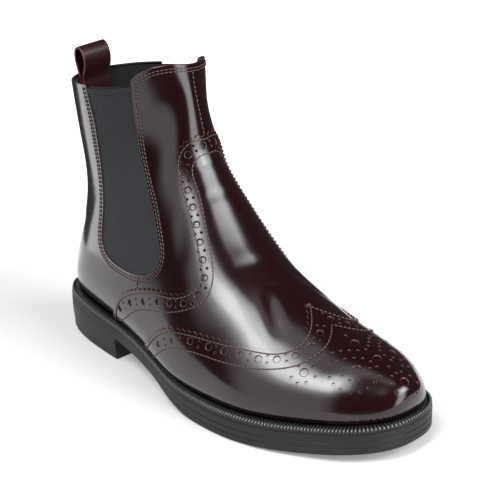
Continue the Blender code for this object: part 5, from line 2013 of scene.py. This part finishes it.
@dataclass
class PullLoop:
    """The strap folded into a drop at the back of the collar."""

    last: Last
    width: float = 20.0 * MM
    height: float = 17.5 * MM
    depth: float = 8.5 * MM
    tail: float = 14.0 * MM
    thickness: float = 1.4 * MM

    # Shares of the depth ahead of the neck and of the height above it
    DROP = (
        (-0.02, 0.00), (-0.18, 0.22), (-0.40, 0.52), (-0.46, 0.76), (-0.34, 0.94), (-0.10, 1.00),
        (0.20, 0.93), (0.46, 0.72), (0.54, 0.48), (0.44, 0.20), (0.30, 0.00),
    )

    def build(self) -> None:
        """Make the strap with its painted edges."""
        low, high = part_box("pull_loop")
        half = 0.5 * self.thickness
        neck = np.array([0.0, high.y - half - 0.46 * self.depth, high.z - half - self.height])
        rim = self.last.place(self.last.collar_line(np.array([0.0])))[0]
        below = self.last.place(self.last.collar_line(np.array([0.0])) - np.array([[0.03, 0.0]]))[0]
        down = unit(below - rim)
        ahead = np.array([0.0, -1.0, 0.0])
        path = [neck + down * self.tail * share for share in (1.0, 0.66, 0.33)]
        for share_ahead, share_up in self.DROP:
            rise = np.array([0.0, 0.0, share_up * self.height])
            path.append(neck + ahead * share_ahead * self.depth + rise)
        path += [neck + down * self.tail * share + ahead * 0.31 * self.depth for share in (0.33, 0.66, 1.0)]
        path = np.array(path)
        knots = run_of(path)
        fine = natural_spline(knots, path, np.linspace(0.0, knots[-1], 150))
        tangent = unit(np.gradient(fine, axis=0))
        across = np.stack([np.zeros(len(fine)), -tangent[:, 2], tangent[:, 1]], 1)
        side = np.array([1.0, 0.0, 0.0])
        rows = []
        normals = []
        raws = []
        for x, y, nx, ny, raw in self._section():
            rows.append(fine + side * x + across * y)
            normals.append(np.tile(side * nx, (len(fine), 1)) + across * ny)
            raws.append(raw)
        rows.append(rows[0])
        normals.append(normals[0])
        raws.append(raws[0])
        stock = Stock()
        stock.strip(rows, normals, False, raws)
        stock.build("pull_loop", Finish.STRAP, ("pull_loop",))

    def _section(self) -> list[tuple[float, float, float, float, float]]:
        """Return the strap's section as (x, y, normal x, normal y, raw) round its rounded edges."""
        half_wide = 0.5 * self.width
        half = 0.5 * self.thickness
        steps = []
        for centre, sign in ((half_wide - 0.6 * half, 1.0), (-half_wide + 0.6 * half, -1.0)):
            for k in range(7):
                turn = math.pi * (0.5 - k / 6)
                if sign < 0:
                    turn = -turn
                x = centre + sign * 0.6 * half * math.cos(turn)
                y = half * math.sin(turn)
                raw = 0.75 if 1 <= k <= 5 else 0.1
                steps.append((x, y, sign * math.cos(turn), math.sin(turn), raw))
        return steps


@dataclass(frozen=True)
class SoftBox:
    """A soft box in the surroundings, from left to right and low to high in degrees."""

    left: float
    right: float
    low: float
    high: float
    soft: float
    radiance: float


@dataclass
class Studio:
    """Camera, lights, floor and surroundings."""

    azimuth: float = -43.76
    elevation: float = 23.59
    roll: float = -0.516
    distance: float = 1.279
    focal_pixels: float = 2266.0
    image_width: int = 500
    axis_from_centre: tuple[float, float] = (-30.2, -7.3)
    target: tuple[float, float, float] = (0.0, -0.0874, 0.0819)
    gloom: float = 0.06
    white: float = 1.6
    floor_radius: float = 0.27
    floor_level: float = -0.2 * MM
    boxes: tuple[SoftBox, ...] = (
        SoftBox(-180.0, -146.0, -40.0, 40.0, 8.0, 2.2),
        SoftBox(-108.0, -66.0, -40.0, 75.0, 10.0, 1.10),
        SoftBox(-100.0, -66.0, 36.0, 75.0, 8.0, 2.6),
        SoftBox(-96.0, -52.0, 48.0, 78.0, 8.0, 6.5),
        SoftBox(-10.0, 40.0, 25.0, 56.0, 8.0, 7.5),
        SoftBox(-10.0, 20.0, -40.0, 26.0, 6.0, 4.0),
        SoftBox(-180.0, 180.0, 78.0, 100.0, 7.0, 1.2),
    )

    def build(self) -> None:
        """Set up the camera, lights and floor."""
        self._camera()
        self._lights()
        self._floor()
        self._world()

    def _camera(self) -> None:
        """Place the camera at the photograph's angle to the boot, framing the one boot."""
        data = bpy.data.cameras.new("camera")
        data.sensor_width = 36.0
        data.sensor_fit = "HORIZONTAL"
        data.lens = self.focal_pixels * data.sensor_width / self.image_width
        data.shift_x = -self.axis_from_centre[0] / self.image_width
        data.shift_y = self.axis_from_centre[1] / self.image_width
        data.clip_end = 20.0
        camera = bpy.data.objects.new("camera", data)
        a, e, rho = (math.radians(v) for v in (self.azimuth, self.elevation, self.roll))
        back = Vector((math.sin(a) * math.cos(e), -math.cos(a) * math.cos(e), math.sin(e)))
        right = Vector((math.cos(a), math.sin(a), 0.0))
        up = back.cross(right)
        turned_right = right * math.cos(rho) + up * math.sin(rho)
        turned_up = up * math.cos(rho) - right * math.sin(rho)
        turn = Matrix((turned_right, turned_up, back)).transposed().to_4x4()
        camera.matrix_world = Matrix.Translation(Vector(self.target) + back * self.distance) @ turn
        bpy.context.scene.collection.objects.link(camera)
        bpy.context.scene.camera = camera

    def _area(self, name: str, azimuth: float, elevation: float, distance: float, size: tuple[float, float],
              radiance: float, tilt: float = 0.0) -> None:
        """Add a soft box that looks at the boot.

        Args:
            name: the light's name.
            azimuth: where it stands, 0 in front of the toe and -90 on the outer side.
            elevation: how high it stands, in degrees.
            distance: how far away it stands.
            size: its width and height.
            radiance: how bright its face is.
            tilt: its turn about its own axis, in degrees.
        """
        data = bpy.data.lights.new(name, "AREA")
        data.shape = "RECTANGLE"
        data.size, data.size_y = size
        data.energy = radiance * math.pi * size[0] * size[1]
        light = bpy.data.objects.new(name, data)
        a, e = math.radians(azimuth), math.radians(elevation)
        back = Vector((math.sin(a) * math.cos(e), -math.cos(a) * math.cos(e), math.sin(e)))
        turn = back.to_track_quat("Z", "Y").to_matrix().to_4x4()
        spin = Matrix.Rotation(math.radians(tilt), 4, "Z")
        light.matrix_world = Matrix.Translation(Vector(self.target) + back * distance) @ turn @ spin
        bpy.context.scene.collection.objects.link(light)

    def _lights(self) -> None:
        """Place the soft boxes."""
        self._area("outer_box", -76.0, 52.0, 1.7, (0.45, 0.70), 4.0)
        self._area("front_box", 14.0, 38.0, 1.8, (0.40, 0.40), 5.0)

    def _floor(self) -> None:
        """Lay a white floor under the boot."""
        mesh = bpy.data.meshes.new("floor")
        turns = np.linspace(0.0, 2 * math.pi, 96, endpoint=False)
        middle = self.target[1]
        rim = [(self.floor_radius * math.cos(t), self.floor_radius * math.sin(t) + middle, self.floor_level)
               for t in turns]
        mesh.from_pydata(rim, [], [tuple(range(len(rim)))])
        floor = bpy.data.objects.new("floor", mesh)
        bpy.context.scene.collection.objects.link(floor)
        paint = Paint("floor paper")
        mesh.materials.append(paint.finish(base_color=(0.66, 0.65, 0.64), roughness=0.9, emission_strength=0.22,
                                           emission_color=(1.0, 1.0, 1.0)))

    def _world(self) -> None:
        """Set dark surroundings with the photograph's soft boxes, which the camera sees as white."""
        world = bpy.data.worlds.new("studio")
        world.use_nodes = True
        nodes = Nodes(world.node_tree)
        way = nodes.node("ShaderNodeTexCoord", {}, {}, "Generated")
        x, y, z = (nodes.node("ShaderNodeSeparateXYZ", {}, {0: way}, k) for k in range(3))
        azimuth = nodes.node("ShaderNodeMath", {"operation": "ARCTAN2"}, {0: x, 1: y * -1.0}) * RAD
        elevation = nodes.node("ShaderNodeMath", {"operation": "ARCSINE"}, {0: z}) * RAD
        light = 0.0 * azimuth + self.gloom
        for box in self.boxes:
            across = azimuth.eased(box.left - box.soft, box.left + box.soft)
            across = across * (1.0 - azimuth.eased(box.right - box.soft, box.right + box.soft))
            up = elevation.eased(box.low - box.soft, box.low + box.soft)
            up = up * (1.0 - elevation.eased(box.high - box.soft, box.high + box.soft))
            light = light + box.radiance * across * up
        seen = nodes.node("ShaderNodeLightPath", {}, {}, "Is Camera Ray")
        strength = light * (1.0 - seen) + self.white * seen
        background = world.node_tree.nodes["Background"]
        background.inputs["Color"].default_value = (0.95, 0.97, 1.0, 1.0)
        world.node_tree.links.new(strength.link, background.inputs["Strength"])
        bpy.context.scene.world = world


def main() -> None:
    """Build the boot piece by piece, then the studio."""
    bpy.context.scene.view_settings.view_transform = "Standard"
    logging.basicConfig(level=logging.INFO, format="%(message)s")
    last = Last(LastSizes(), CREASES)
    plan = Plan(last)
    sole = Sole(last, plan)
    sole.build_outsole()
    sole.build_heel()
    sole.build_welt()
    sole.build_insole()
    upper = Upper(last)
    outer_gap, inner_gap = upper.build_quarters()
    upper.build_vamp()
    upper.build_cap()
    Gusset(last, outer_gap, True).build()
    Gusset(last, inner_gap, False).build()
    Interior(last).build()
    PullLoop(last).build()
    Studio().build()


if __name__ == "__main__":
    main()
